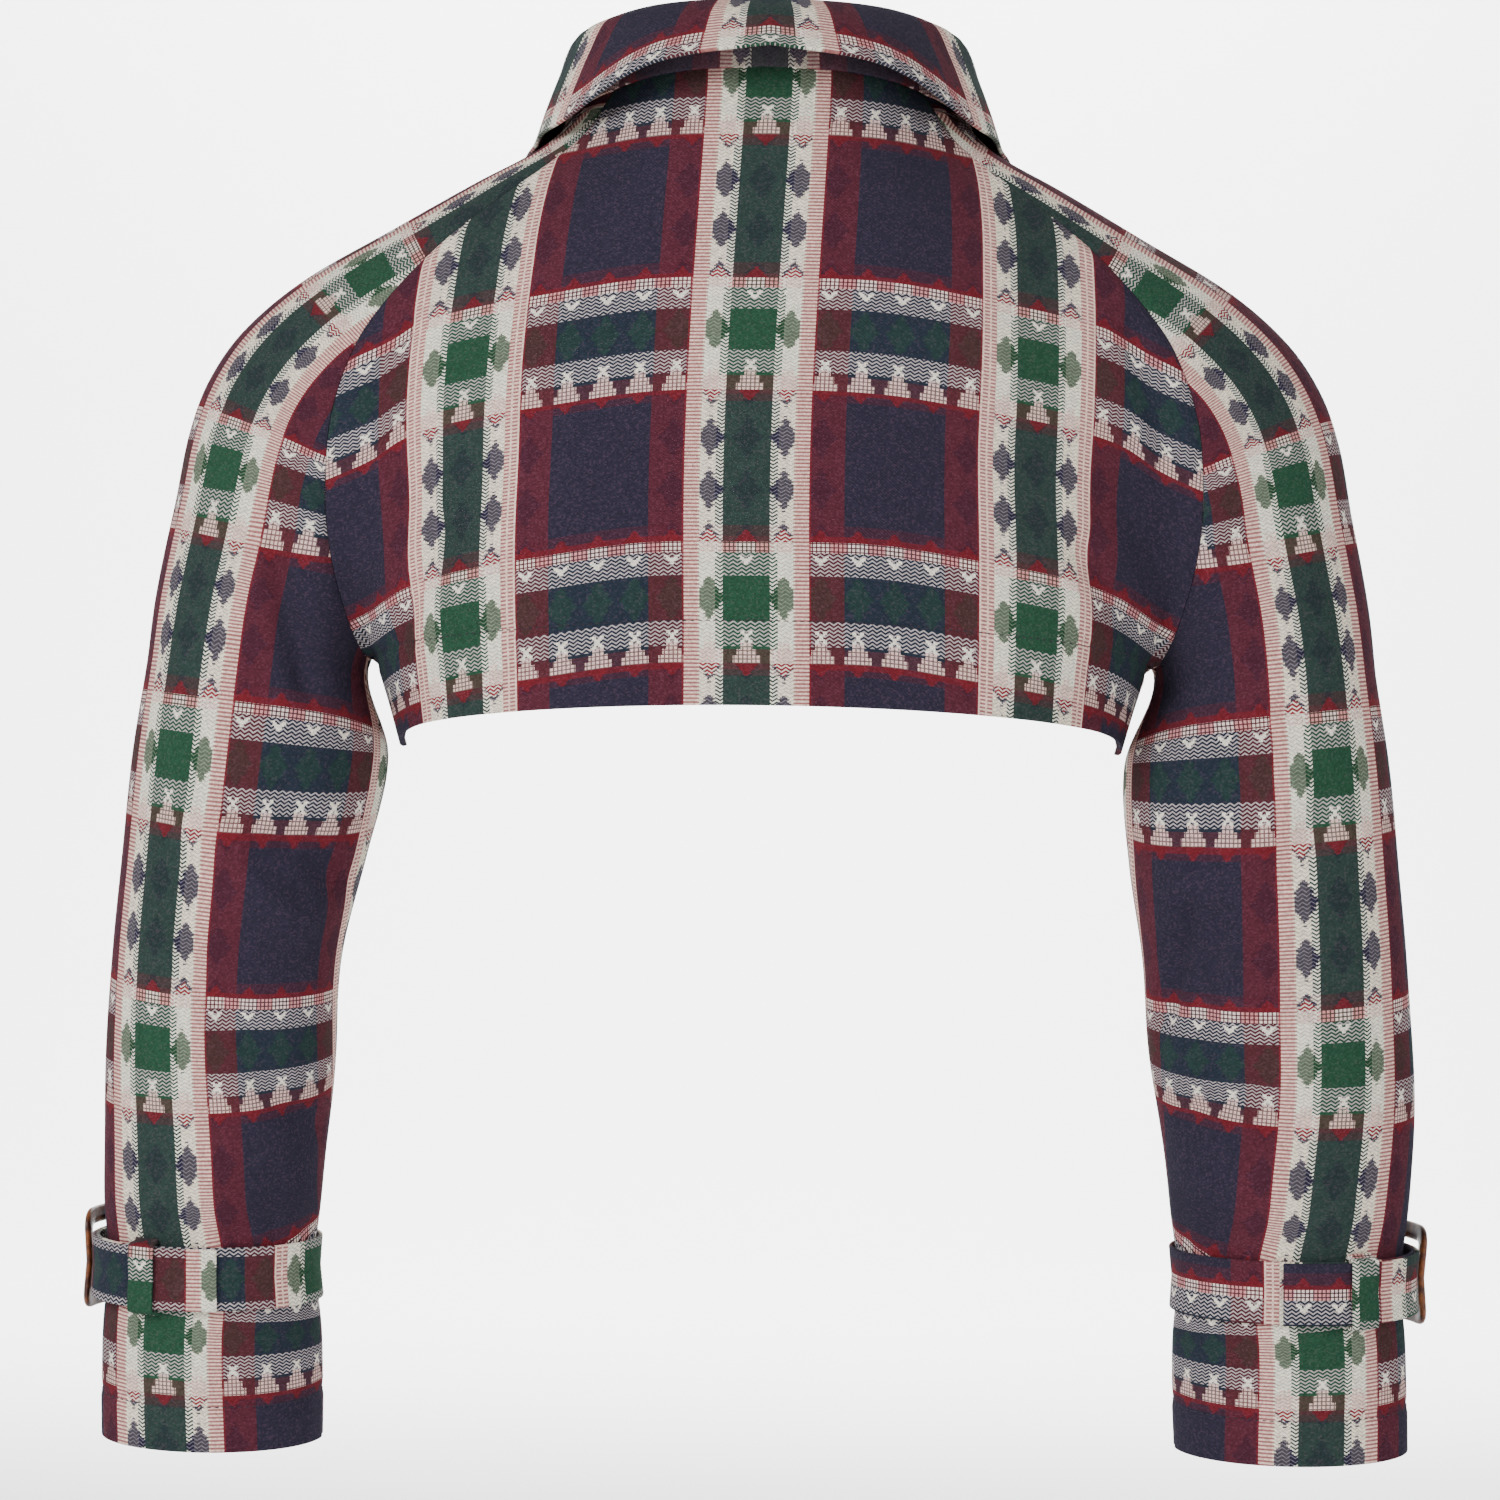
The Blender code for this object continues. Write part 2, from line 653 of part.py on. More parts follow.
def build_loop():
    """The left belt loop: on the sleeve at its ends, over both layers of the strap between them."""
    top = 2 * (STRAP_WALL + SEAM_GAP)
    reach = STRAP_WIDTH / 2
    thick = STRAP_WALL * 0.75
    base = float(strap_lift(LOOP_START))
    profile = ((LOOP_HEIGHT / 2, SEAM_GAP, 0), (reach + 2.0, SEAM_GAP, 0.4), (reach + 0.7, base + top, 1.2),
               (0, base + top + 0.3, 0), (-reach - 0.7, base + top, -1.2), (-reach - 2.0, SEAM_GAP, -0.4),
               (-LOOP_HEIGHT / 2, SEAM_GAP, 0))
    rows = np.array(profile)[:, :, None]
    angles = np.array((LOOP_START, LOOP_END))[None]
    return (on_cuff(angles, rows[:, 0] + rows[:, 2], rows[:, 1] + thick),
            on_cuff(angles, rows[:, 0], rows[:, 1]))


def build_cuffs():
    strap = build_strap()
    loop = build_loop()
    for side, sign in (("left", 1), ("right", -1)):
        for name, made in (("strap", strap), ("loop", loop)):
            outer, inner = (posed(grid, side) * (sign, 1, 1) for grid in made)
            walled(f"{name}_{side}", outer, inner)
        build_buckle(side, sign)


def buckle_ring():
    """Rounded rectangle of the buckle's frame: places along the strap and across it."""
    length = BUCKLE_LENGTH / 2 - BUCKLE_RAIL / 2 - BUCKLE_ROUNDING
    height = BUCKLE_HEIGHT / 2 - BUCKLE_RAIL / 2 - BUCKLE_ROUNDING
    corners = ((1, 1), (-1, 1), (-1, -1), (1, -1))
    points = []
    for quarter, (sx, sy) in enumerate(corners):
        for step in range(4):
            turn = math.radians(90 * quarter + 30 * step)
            points.append((sx * length + math.cos(turn) * BUCKLE_ROUNDING,
                           sy * height + math.sin(turn) * BUCKLE_ROUNDING, turn))
    return np.array(points)


def build_buckle(side, sign):
    """A curved frame over the strap's tail, with the bar that the strap's start hangs on."""
    base = float(strap_lift(0)) + 2 * (STRAP_WALL + SEAM_GAP) + SEAM_GAP
    section = np.array(BUCKLE_SECTION)
    ring = buckle_ring()
    across = section[:, 0] * BUCKLE_RAIL
    along = ring[:, 0, None] + np.cos(ring[:, 2, None]) * across
    heights = ring[:, 1, None] + np.sin(ring[:, 2, None]) * across
    angles = BUCKLE_CENTRE + np.degrees(along / CUFF_RADIUS)
    points = on_cuff(angles, heights, base + section[:, 1] * BUCKLE_THICKNESS)
    frame = tube_piece(f"buckle_{side}", posed(points, side) * (sign, 1, 1), True)
    join = frame.modifiers.new("bar", "BOOLEAN")
    join.operation = "UNION"
    join.object = buckle_bar(side, sign, base)


def buckle_bar(side, sign, base):
    """The bar: level with the strap's start, under the tail, its ends up in the frame."""
    half = BUCKLE_HEIGHT / 2 - BUCKLE_RAIL / 2
    low = float(strap_lift(BUCKLE_CENTRE))
    inside = STRAP_WIDTH / 2 + 0.8
    into = base + BUCKLE_THICKNESS * 0.6
    profile = np.array(((half, low), (0, low), (-half, low), (-half, into), (-inside, into),
                        (-inside, low + STRAP_WALL), (0, low + STRAP_WALL), (inside, low + STRAP_WALL),
                        (inside, into), (half, into)))
    wide = math.degrees(BUCKLE_BAR / 2 / CUFF_RADIUS)
    angles = np.array((BUCKLE_CENTRE - wide, BUCKLE_CENTRE + wide))[:, None]
    points = on_cuff(angles, profile[:, 0], profile[:, 1])
    bar = tube_piece(f"bar_cutter_{side}", posed(points, side) * (sign, 1, 1), False)
    bar.hide_render = True
    bar.display_type = "WIRE"
    return bar


def tube_piece(name, sections, closed):
    """A solid through like sections: a closed ring of them, or a run with filled ends."""
    bm = bmesh.new()
    loops = [[bm.verts.new(point * MM) for point in section] for section in sections]
    pairs = list(zip(loops, loops[1:] + loops[:1])) if closed else [tuple(loops)]
    count = len(loops[0])
    for loop, following in pairs:
        for k in range(count):
            bm.faces.new((loop[k], loop[(k + 1) % count], following[(k + 1) % count], following[k]))
    if not closed:
        for end in loops:
            bm.faces.new(end)
    return finished(name, bm, BUCKLE_COLOUR, 0.4)


def main():
    for obj in list(bpy.data.objects):
        bpy.data.objects.remove(obj)
    seam_back = raglan_seam(SEAM_BACK, NECK_ANGLE_BACK, UPPER_ROWS)
    seam_front = raglan_seam(SEAM_FRONT, NECK_ANGLE_FRONT, UPPER_ROWS)
    build_body(seam_back, seam_front, side_seam(SIDE_ROWS))
    build_sleeves(seam_back, seam_front)
    build_collar()
    build_cuffs()


main()
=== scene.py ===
"""Bolero jacket: the look of each cut piece of checked cloth, its stitching and its buckles.

Metres in the meshes, millimetres in the tables. +Z up, the front faces -Y, the wearer's left is +X.
"""

import functools
import math
from types import SimpleNamespace

import bmesh
import bpy
import numpy as np
from bpy.props import FloatProperty, PointerProperty
from mathutils import Matrix, Vector


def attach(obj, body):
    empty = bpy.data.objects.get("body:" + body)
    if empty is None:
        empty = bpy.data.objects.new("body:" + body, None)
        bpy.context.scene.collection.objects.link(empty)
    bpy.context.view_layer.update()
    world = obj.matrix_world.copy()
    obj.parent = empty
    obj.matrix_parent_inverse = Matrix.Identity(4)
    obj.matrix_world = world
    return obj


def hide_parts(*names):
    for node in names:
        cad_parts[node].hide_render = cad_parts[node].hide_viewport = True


bl_info = {
    "name": "Bolero jacket",
    "version": (1, 0, 0),
    "blender": (4, 5, 0),
    "location": "3D View > Sidebar > Bolero",
    "description": "Builds a worn bolero jacket of checked cloth",
    "category": "Add Mesh",
}

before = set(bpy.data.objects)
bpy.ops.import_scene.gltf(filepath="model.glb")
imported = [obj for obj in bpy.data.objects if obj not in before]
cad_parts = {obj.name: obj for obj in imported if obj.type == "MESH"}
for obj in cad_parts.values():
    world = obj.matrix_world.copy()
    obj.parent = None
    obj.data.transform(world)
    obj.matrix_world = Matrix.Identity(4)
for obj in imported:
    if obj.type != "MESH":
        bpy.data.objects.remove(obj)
MM = 0.001
SIDES = (("left", 1), ("right", -1))

# Cloth, its edges and its seams
SEAM_GAP = 0.3
EDGE_ROUNDING = 0.3
EDGE_ANGLE = 60
STRAP_WALL = 2.0
STRAP_WIDTH = 30.0

# Body sections by height
TORSO = (
    ("z", "half_width", "back", "front"),
    (70, 73, 62, 58),
    (28, 77, 78, 74),
    (12, 84, 84, 80),
    (0, 90, 89, 84),
    (-12, 98, 93, 87),
    (-30, 113, 98, 90),
    (-58, 138, 104, 97),
    (-100, 168, 111, 109),
    (-150, 190, 117, 119),
    (-195, 199, 118, 125),
    (-233, 193, 117, 126),
    (-250, 183, 115.5, 125),
    (-264, 178, 114, 124),
    (-292, 170, 112, 120),
)
TORSO_SQUARENESS = 2.4

# Shoulder and arm sections by height: centre x and y, half width along x and along y
ARM = (
    ("z", "x", "y", "half_width", "half_depth"),
    (20, 53, 0, 25, 26),
    (-3, 60, 0, 39, 38),
    (-21, 82, -1, 54, 46),
    (-45, 114, -2, 65, 51),
    (-69, 148, -3, 72, 54),
    (-93, 172, -3, 76, 57),
    (-116, 188, -3, 76, 59),
    (-140, 199, -3, 74, 60),
    (-176, 211, -3, 69, 60),
    (-200, 218, -3, 67, 59),
    (-223, 227, -2, 62, 58),
    (-250, 239, -1, 53, 56),
    (-294, 237, -1, 61, 56),
    (-342, 242, -4, 61, 54),
    (-390, 249, -9, 59, 52),
    (-437, 252, -15, 59, 50),
    (-484, 255, -22, 56, 47),
    (-508, 256, -26, 54.5, 46),
    (-538, 256.5, -31, 51.5, 43.5),
    (-570, 256.5, -36, 53.5, 44.5),
    (-640, 256.5, -46, 53.5, 44),
)

# How the worn sleeves differ below the underarm: moved outward, and wider each way
POSE = (
    ("z", "left_shift", "left_wider", "right_shift", "right_wider"),
    (-250, 0, 0, 0, 0),
    (-294, 0.5, 0, -1, 2.2),
    (-351, 3, -3, -2, 3.6),
    (-408, 3.8, -4.2, -2.4, 4.4),
    (-465, 3.1, -3.1, 0, 3.8),
    (-522, 3.4, -2, 0, 2.4),
    (-579, 3, -0.5, 1.2, 2.8),
    (-640, 3, -0.5, 4, 2.6),
)

# How widely shoulder and body melt into each other, by height
BLEND = (
    ("z", "width"),
    (20, 30),
    (-60, 55),
    (-130, 55),
    (-170, 36),
    (-210, 20),
    (-250, 10),
)
SPLIT_TOP = -195
SPLIT_BOTTOM = -240

# Neckline height by plan angle from centre back, in degrees
NECK = (
    ("angle", "z"),
    (0, 28),
    (30, 26),
    (60, 19),
    (90, 8),
    (120, -16),
    (150, -43),
    (180, -58),
)
NECK_ANGLE_BACK = 60
NECK_ANGLE_FRONT = 132
NECK_ANGLE_OPEN = 168

# Raglan seams from neckline to underarm, left side; y is settled on the form
SEAM_BACK = (
    (89, 47, 0),
    (105, 48, -14),
    (119, 48, -26),
    (135, 48, -40),
    (152, 50, -54.6),
    (178, 54, -83),
    (189, 55, -100),
    (201, 56, -135),
    (204, 56, -165),
    (202, 52, -200),
    (197, 40, -228),
    (191, 22, -243),
)
SEAM_FRONT = (
    (84, -66, -34),
    (100, -66, -48),
    (120, -66, -66),
    (140, -65, -88),
    (158, -64, -114),
    (170, -62, -140),
    (180, -58, -170),
    (186, -50, -200),
    (189, -36, -226),
    (188, -18, -243),
)
UNDERARM = (185, 2, -250)
HEM_CORNER = (170, 0, -290)

NECK_SIDE_Z = 8
BACK_NECK_Z = 28
BACK_HEM_Z = -269
FRONT_HEM_Z = -262
FRONT_OPENING_TOP = 19
FRONT_OPENING_HEM = 34

# Collar by plan angle: roll line radius and height, fall edge radius and height
COLLAR = (
    ("angle", "roll_radius", "roll_z", "edge_angle", "edge_radius", "edge_z"),
    (0, 79, 58, 0, 115, 34),
    (30, 79, 57, 29, 113, 26),
    (60, 80, 53, 58, 111, 4),
    (90, 86, 45, 86, 110.5, -5),
    (120, 94, 22, 112, 120, -34),
    (145, 97, -12, 133, 136, -66),
    (168, 97, -42, 151, 143, -92),
)
# How far the collar's foot stands above the neckline; below 0 it sinks in, so that no light leaks through
COLLAR_LIFT = -0.8
COLLAR_ROLL = 5.0
COLLAR_ROLL_OUT = (0.35, 1.4)
COLLAR_ROLL_DOWN = (0, 0.35)
COLLAR_STAND = (
    ("share", "inward"),
    (0.5, 1.5),
    (0.88, 1.2),
)
COLLAR_FALL = (
    ("share", "up", "out"),
    (0.45, 0.10, 2.0),
    (0.72, 0.05, 1.5),
)
COLLAR_CLEAR = 1.5

# Creases of the worn cloth: side, start, end, half width and height; troughs are negative
CREASES = (
    ("side", "x1", "z1", "x2", "z2", "width", "height"),
    (1, 214, -178, 205, -238, 12, 4.0),
    (1, 222, -318, 200, -352, 9, -4.0),
    (1, 262, -330, 215, -368, 12, 3.0),
    (1, -212, -176, -203, -240, 12, 4.0),
    (1, -213, -366, -207, -414, 9, -4.0),
    (1, -236, -300, -205, -330, 11, -3.5),
    (-1, 212, -190, 206, -240, 12, 4.0),
    (-1, 236, -330, 205, -356, 10, -4.0),
    (-1, -214, -186, -206, -240, 12, 4.0),
    (-1, -240, -340, -208, -372, 10, -4.0),
    (1, 60, -120, 150, -180, 24, -3.0),
    (1, -55, -128, -150, -176, 24, -3.0),
    (1, 228, -205, 212, -262, 6.0, -5.4),
    (1, 246, -322, 222, -340, 5.1, -4.9),
    (1, 236, -344, 214, -362, 4.2, -3.6),
    (1, 232, -452, 208, -470, 6.8, -3.6),
    (1, 264, -398, 236, -430, 9.3, -3.2),
    (1, -200, -362, -192, -414, 4.2, -6.3),
    (1, -246, -268, -214, -286, 6.0, -4.9),
    (1, -262, -318, -236, -352, 8.5, -3.3),
    (1, -232, -448, -206, -458, 6.8, -4.1),
    (1, 172, -96, 186, -150, 7.6, -3.6),
    (1, -170, -92, -188, -146, 7.6, -3.2),
    (1, 148, -190, 170, -240, 8.5, -3.6),
    (1, -150, -196, -176, -236, 8.5, -4.5),
    (1, 26, -150, 34, -232, 20, -2.0),
    (1, -74, -176, -62, -248, 18, -2.2),
    (-1, 228, -214, 214, -262, 6.0, -4.9),
    (-1, 244, -392, 216, -420, 6.8, -4.5),
    (-1, -232, -218, -214, -258, 6.8, -4.9),
    (-1, -248, -402, -218, -424, 7.6, -4.1),
    (-1, 258, -470, 224, -486, 6.8, -3.2),
    (-1, -256, -462, -226, -482, 6.8, -3.3),
    (-1, 132, -150, 96, -228, 16, -3.1),
    (-1, -126, -148, -98, -232, 15, -2.9),
    (-1, 158, -178, 168, -240, 7.6, -3.6),
    (-1, -160, -174, -170, -236, 7.6, -3.8),
    (-1, 72, -196, 84, -250, 14, 2.3),
    (-1, -70, -190, -82, -250, 13, 2.3),
)

# How soon a crease reaches its full height on cloth that turns to its side
CREASE_FACING = 1.5

# Small gathers where the strap draws the cuff in: angle round it, half width and depth
GATHERS = (
    ("angle", "width", "depth"),
    (18, 5, 0.9),
    (40, 4, 1.3),
    (66, 5, 1.0),
    (84, 4, 1.6),
    (109, 6, 1.1),
    (133, 4, 1.5),
    (160, 5, 1.0),
    (-28, 5, 1.2),
    (-55, 4, 1.5),
    (-86, 6, 1.0),
    (-118, 4, 1.4),
    (-149, 5, 1.1),
)
GATHER_REACH = 34.0

# Rays from inside a form to its surface
RAY_REACH = 240.0
RAY_SAMPLES = 97
RAY_HALVINGS = 16
RAY_START_SHARE = 0.55
LEAST_DEPTH = 4.0

# Divisions of the cloth
UPPER_ROWS = 72
SIDE_ROWS = 12
ARM_ROWS = 72
CUFF_ROWS = 18
SLEEVE_COLUMNS = 96
BACK_COLUMNS = 120
FRONT_COLUMNS = 44
COLLAR_ROWS = 26
COLLAR_COLUMNS_COUNT = 150
STRAP_ROWS = 8
LOOP_ROWS = 28
LOOP_COLUMNS = 6

# Cuff: edge of the sleeve, strap, belt loop and buckle
CUFF_SIDE_Z = -621.5
CUFF_TILT = 0.12
CUFF_RADIUS = 56.0
STRAP_Z = -539
STRAP_STEP = 2.5
STRAP_RISE_START = 25.5
STRAP_RISE = 15.0
STRAP_TAIL = 97.5
STRAP_LOOSE = 2.4
LOOP_START = 45
LOOP_END = 60
LOOP_HEIGHT = 37
BUCKLE_CENTRE = -22.5
BUCKLE_LENGTH = 42
BUCKLE_HEIGHT = 50
BUCKLE_RAIL = 8
BUCKLE_THICKNESS = 3.6
BUCKLE_BAR = 5
BUCKLE_ROUNDING = 6
BUCKLE_SQUARENESS = (0.7, 0.8)
BUCKLE_SWELL = 0.46
BUCKLE_BAR_ROWS = 13
BUCKLE_CORNER_STEPS = 8
BUCKLE_SECTION_STEPS = 16

# Seams, hems and stitching
SEAM_DIP = 2.6
SEAM_SWELL_PLACE = 7
SEAM_SWELL_WIDTH = 4.5
SEAM_SWELL_SHARE = 0.3
HEM_FULLNESS = 0.35
HEM_PRESS = (1.5, 0.75)
NECK_PRESS = (1.2, 0.4)
HEM_DEPTH = 39.0
CUFF_HEM_DEPTH = 22.0
NECK_STITCH_DEPTH = 15.0
STITCH_PITCH = 3.6
STITCH_LENGTH = 2.5
STITCH_RADIUS = 0.28

# The check: its repeat, and the width of each stripe from the middle of the green one
REPEAT = 137.0
MOTIF = REPEAT / 8
GREEN_END = 10.8
DOTTED_END = 14.2
CREAM_END = 22.0
LADDER_END = 29.1
MARGIN_END = 44.8
BAND_START = 78.0
YARN_ACROSS = 0.9
YARN_ALONG = 0.75
LACE = 2.0
RUNG = 1.9
RUNG_SPACING = 3.55
CHEVRON = 4.0
CHEVRON_RISE = 1.9
CHEVRON_SLOPE = 0.7
WHITE = (255, 247, 232)

# Motifs: half width and half height, how far their edges are jagged, and the rows that they fill
TREE_HALF = (7.4, 12.5)
TREE_SPACING = 27
TREE_JAG = 0.07
LEAF_HALF = (7.4, 13)
LEAF_JAG = 0.06
LEAF_MIDDLE = 27.5
LEAF_ROWS = (16.5, 38.5)
JAG_SPACING = 3.6
TEETH_HALF = (5.4, 6.4)
EDGE_ROW = 2.4
BLOCK_ROWS = (6, 70)
COMB_END = 5.6
COMB_TOOTH = 4.4
TWILL_END = 50.5
LAST_ROWS = 52
CROWN = (
    ("start", "end", "half_width"),
    (48.6, 51.8, 2.4),
    (51.8, 55.2, 4.2),
    (55.2, 60.0, 6.0),
)
ARM_SLOPE = 0.8
ARROW_TIP = 10.6
ARROW_ROWS = (7.0, 11.6)
STAR_MIDDLE = 46
STAR_ROWS = (43.2, 48.8)

# Surface of the cloth: how much yarns and wear change its tone, and the ribs of its weave
CLOTH_ROUGHNESS = 0.95
CLOTH_SHINE = 0.04
YARN_TONE = (0.4, 0.74)
WEAR_TONE = (0.16, 0.92)
WEAR_SCALE = 24
REVERSE_MUTED = 0.45
RIB_ACROSS = 1.8
RIB_ALONG = 1.5

# Where the check lies on the back: cloth length by height at centre back, and drop to the sides
BACK_CLOTH = (
    ("z", "v"),
    (60, -72),
    (28, -37),
    (-5, 0),
    (-72.4, 78),
    (-124, 137),
    (-193.9, 215),
    (-250, 274),
    (-290, 317),
)
DROP = (
    ("x", "drop"),
    (0, 0),
    (55, 1),
    (103, 8),
    (138, 14),
    (161, 20),
    (170, 24),
    (184, 33),
    (204, 42),
)
# How far the middle of the green stripe lies from the middle of each piece, by height
STRIPE = (
    ("z", "back", "left", "right"),
    (19, 0, 51, 59),
    (-147, 8, 51, 59),
    (-266, 7, 51, 59),
    (-360, 7, 51, 59),
    (-620, 7, 57, 66),
)
# Height on the sleeve's ridge at which a block of the check starts
SLEEVE_LINE_Z = -70
COLLAR_EDGE_V = 90
FRONT_STRIPE = 34


def smooth_curve(xs, ys, x):
    """Read a smooth curve through table points, as a cubic with averaged slopes."""
    xs = np.asarray(xs, float)
    ys = np.asarray(ys, float)
    if xs[0] > xs[-1]:
        xs, ys = xs[::-1], ys[::-1]
    steps = np.diff(ys) / np.diff(xs)
    slopes = np.concatenate(([steps[0]], (steps[:-1] + steps[1:]) / 2, [steps[-1]]))
    x = np.clip(x, xs[0], xs[-1])
    i = np.clip(np.searchsorted(xs, x) - 1, 0, len(xs) - 2)
    h = xs[i + 1] - xs[i]
    t = (x - xs[i]) / h
    return (ys[i] * (1 + 2 * t) * (1 - t) ** 2 + slopes[i] * h * t * (1 - t) ** 2
            + ys[i + 1] * t * t * (3 - 2 * t) + slopes[i + 1] * h * t * t * (t - 1))


def read(table, name, x):
    """Read the named column of a table at x, which runs along its first column."""
    rows = np.array(table[1:], float)
    return smooth_curve(rows[:, 0], rows[:, table[0].index(name)], x)


def rows_of(table):
    """The rows of a table, each by the names in its first row."""
    return [dict(zip(table[0], row)) for row in table[1:]]


def smoothstep(t):
    t = np.clip(t, 0, 1)
    return t * t * (3 - 2 * t)


def torso_distance(p):
    z = p[..., 2]
    a = read(TORSO, "half_width", z)
    back = read(TORSO, "back", z)
    front = read(TORSO, "front", z)
    b = np.where(p[..., 1] > 0, back, front)
    n = TORSO_SQUARENESS
    q = ((np.abs(p[..., 0]) / a) ** n + (np.abs(p[..., 1]) / b) ** n) ** (1 / n)
    return (q - 1) * np.sqrt(a * b)


def arm_distance(p):
    z = p[..., 2]
    a = read(ARM, "half_width", z)
    b = read(ARM, "half_depth", z)
    dx = (np.abs(p[..., 0]) - read(ARM, "x", z)) / a
    dy = (p[..., 1] - read(ARM, "y", z)) / b
    return (np.sqrt(dx * dx + dy * dy) - 1) * np.sqrt(a * b)


def melted(p):
    """Distance to body and arm melted into one form."""
    body = torso_distance(p)
    arm = arm_distance(p)
    width = read(BLEND, "width", p[..., 2])
    h = np.clip(width - np.abs(body - arm), 0, None) / width
    return np.minimum(body, arm) - h * h * width / 4


def joined_share(p):
    """1 where body and sleeve are one form, 0 below the underarm, where they part."""
    return smoothstep((p[..., 2] - SPLIT_BOTTOM) / (SPLIT_TOP - SPLIT_BOTTOM))


def body_form(p):
    share = joined_share(p)
    return share * melted(p) + (1 - share) * torso_distance(p)


def sleeve_form(p):
    share = joined_share(p)
    return share * melted(p) + (1 - share) * arm_distance(p)


def gradient(form, p, step=1.0):
    parts = []
    for axis in range(3):
        shift = np.zeros(3)
        shift[axis] = step
        parts.append((form(p + shift) - form(p - shift)) / (2 * step))
    return np.stack(parts, axis=-1)


def outward(form, p):
    g = gradient(form, p)
    return g / np.linalg.norm(g, axis=-1, keepdims=True)


def settle(form, p, height=0.0, rounds=12):
    """Move points to the form's surface, or to a height above it, by the shortest way."""
    for _ in range(rounds):
        g = gradient(form, p)
        off = form(p) - height
        p = p - g * (off / (g * g).sum(-1))[..., None]
    return p


def cast(form, start, toward):
    """Where rays from inside the form leave it."""
    direction = toward - start
    direction = direction / np.linalg.norm(direction, axis=-1, keepdims=True)
    t = np.linspace(0, RAY_REACH, RAY_SAMPLES)
    line = start[..., None, :] + direction[..., None, :] * t[:, None]
    outside = form(line) > 0
    first = np.argmax(outside, axis=-1)
    low = t[np.clip(first - 1, 0, None)]
    high = t[first]
    for _ in range(RAY_HALVINGS):
        middle = (low + high) / 2
        out = form(start + direction * middle[..., None]) > 0
        high = np.where(out, middle, high)
        low = np.where(out, low, middle)
    return start + direction * high[..., None]


def crease_height(p, normal):
    """How far the creases lift the cloth at p; each fades toward its ends."""
    total = np.zeros(p.shape[:-1])
    for crease in rows_of(CREASES):
        start = np.array((crease["x1"], crease["z1"]), float)
        along = np.array((crease["x2"], crease["z2"]), float) - start
        offset = p[..., (0, 2)] - start
        t = np.clip((offset @ along) / (along @ along), 0, 1)
        distance = np.linalg.norm(offset - t[..., None] * along, axis=-1)
        facing = np.clip(normal[..., 1] * crease["side"] * CREASE_FACING, 0, 1)
        total += crease["height"] * facing * np.exp(-(distance / crease["width"]) ** 2)
    return total


def neckline(angle):
    """Points of the neckline at plan angles from centre back, in degrees."""
    angle = np.asarray(angle, float)
    z = read(NECK, "z", np.abs(angle))
    start = np.stack((np.zeros_like(z), np.zeros_like(z), z), axis=-1)
    turn = np.radians(angle)
    direction = np.stack((np.sin(turn), np.cos(turn), np.zeros_like(z)), axis=-1)
    return cast(melted, start, start + direction)


def along_points(points, fractions):
    """Read a smooth line through points at fractions of its length."""
    points = np.asarray(points, float)
    length = lengths(points, 0)
    length /= length[-1]
    return np.stack([smooth_curve(length, points[:, k], fractions) for k in range(3)], axis=-1)


def raglan_seam(table, neck_angle, rows):
    """Points of a raglan seam on the form, from the neckline to the underarm."""
    inner = settle(melted, np.array(table, float))
    whole = np.concatenate((neckline([neck_angle]), inner, [UNDERARM]))
    return along_points(whole, np.linspace(0, 1, rows + 1))


@functools.lru_cache(maxsize=None)
def seams():
    """The back and front raglan seams of the left side."""
    return (raglan_seam(SEAM_BACK, NECK_ANGLE_BACK, UPPER_ROWS),
            raglan_seam(SEAM_FRONT, NECK_ANGLE_FRONT, UPPER_ROWS))


def side_seam(rows):
    """Points of the side seam, from the underarm to the hem corner."""
    t = np.linspace(0, 1, rows + 1)[:, None]
    line = np.array(UNDERARM, float) * (1 - t) + np.array(HEM_CORNER, float) * t
    line[1:] = settle(torso_distance, line[1:])
    return line


def panel_edge(seam):
    """The outer edge of a body panel, and each point's share of its length."""
    edge = np.concatenate((seam, side_seam(SIDE_ROWS)[1:]))
    length = lengths(edge, 0)
    return edge, length / length[-1]


def panel_rows(edge, centre_z, centre_x, columns, neck_angles, back):
    """Rows of a body panel between its centre line and its outer edge."""
    rows = len(edge)
    u = np.linspace(0, 1, columns + 1)
    grid = np.zeros((rows, columns + 1, 3))
    side = 1 if back else -1
    depth_name = "back" if back else "front"
    for j in range(rows):
        if j == 0:
            grid[j] = neckline(np.linspace(neck_angles[0], neck_angles[1], columns + 1))
            continue
        end = edge[j]
        z = centre_z[j] + (end[2] - centre_z[j]) * u ** 2
        depth = read(TORSO, depth_name, z)
        turn_end = math.atan2(abs(end[0]), max(abs(end[1]), LEAST_DEPTH))
        turn_start = math.atan2(centre_x[j], depth[0])
        turn = turn_start + (turn_end - turn_start) * u
        x = end[0] * np.sin(turn) / math.sin(turn_end)
        arch = (np.cos(turn) - math.cos(turn_end)) / (1 - math.cos(turn_end))
        y = end[1] + (side * depth - end[1]) * arch
        guide = np.stack((x, y, z), axis=-1)
        start = np.stack((RAY_START_SHARE * x, 0 * y, z), axis=-1)
        grid[j] = cast(body_form, start, guide)
        grid[j, -1] = end
    return grid


def edge_normals(seam):
    """Wall directions at a seam, shared by the pieces that meet there."""
    normal = outward(melted, seam)
    normal[-1] = (0, 0, -1)
    return normal


def sleeve_ring(centre, out, across, angles):
    """Points where a fan of rays leaves the sleeve."""
    turn = np.radians(angles)[:, None]
    direction = np.cos(turn) * out + np.sin(turn) * across
    start = np.repeat(centre[None], len(angles), axis=0)
    return cast(sleeve_form, start, start + direction)


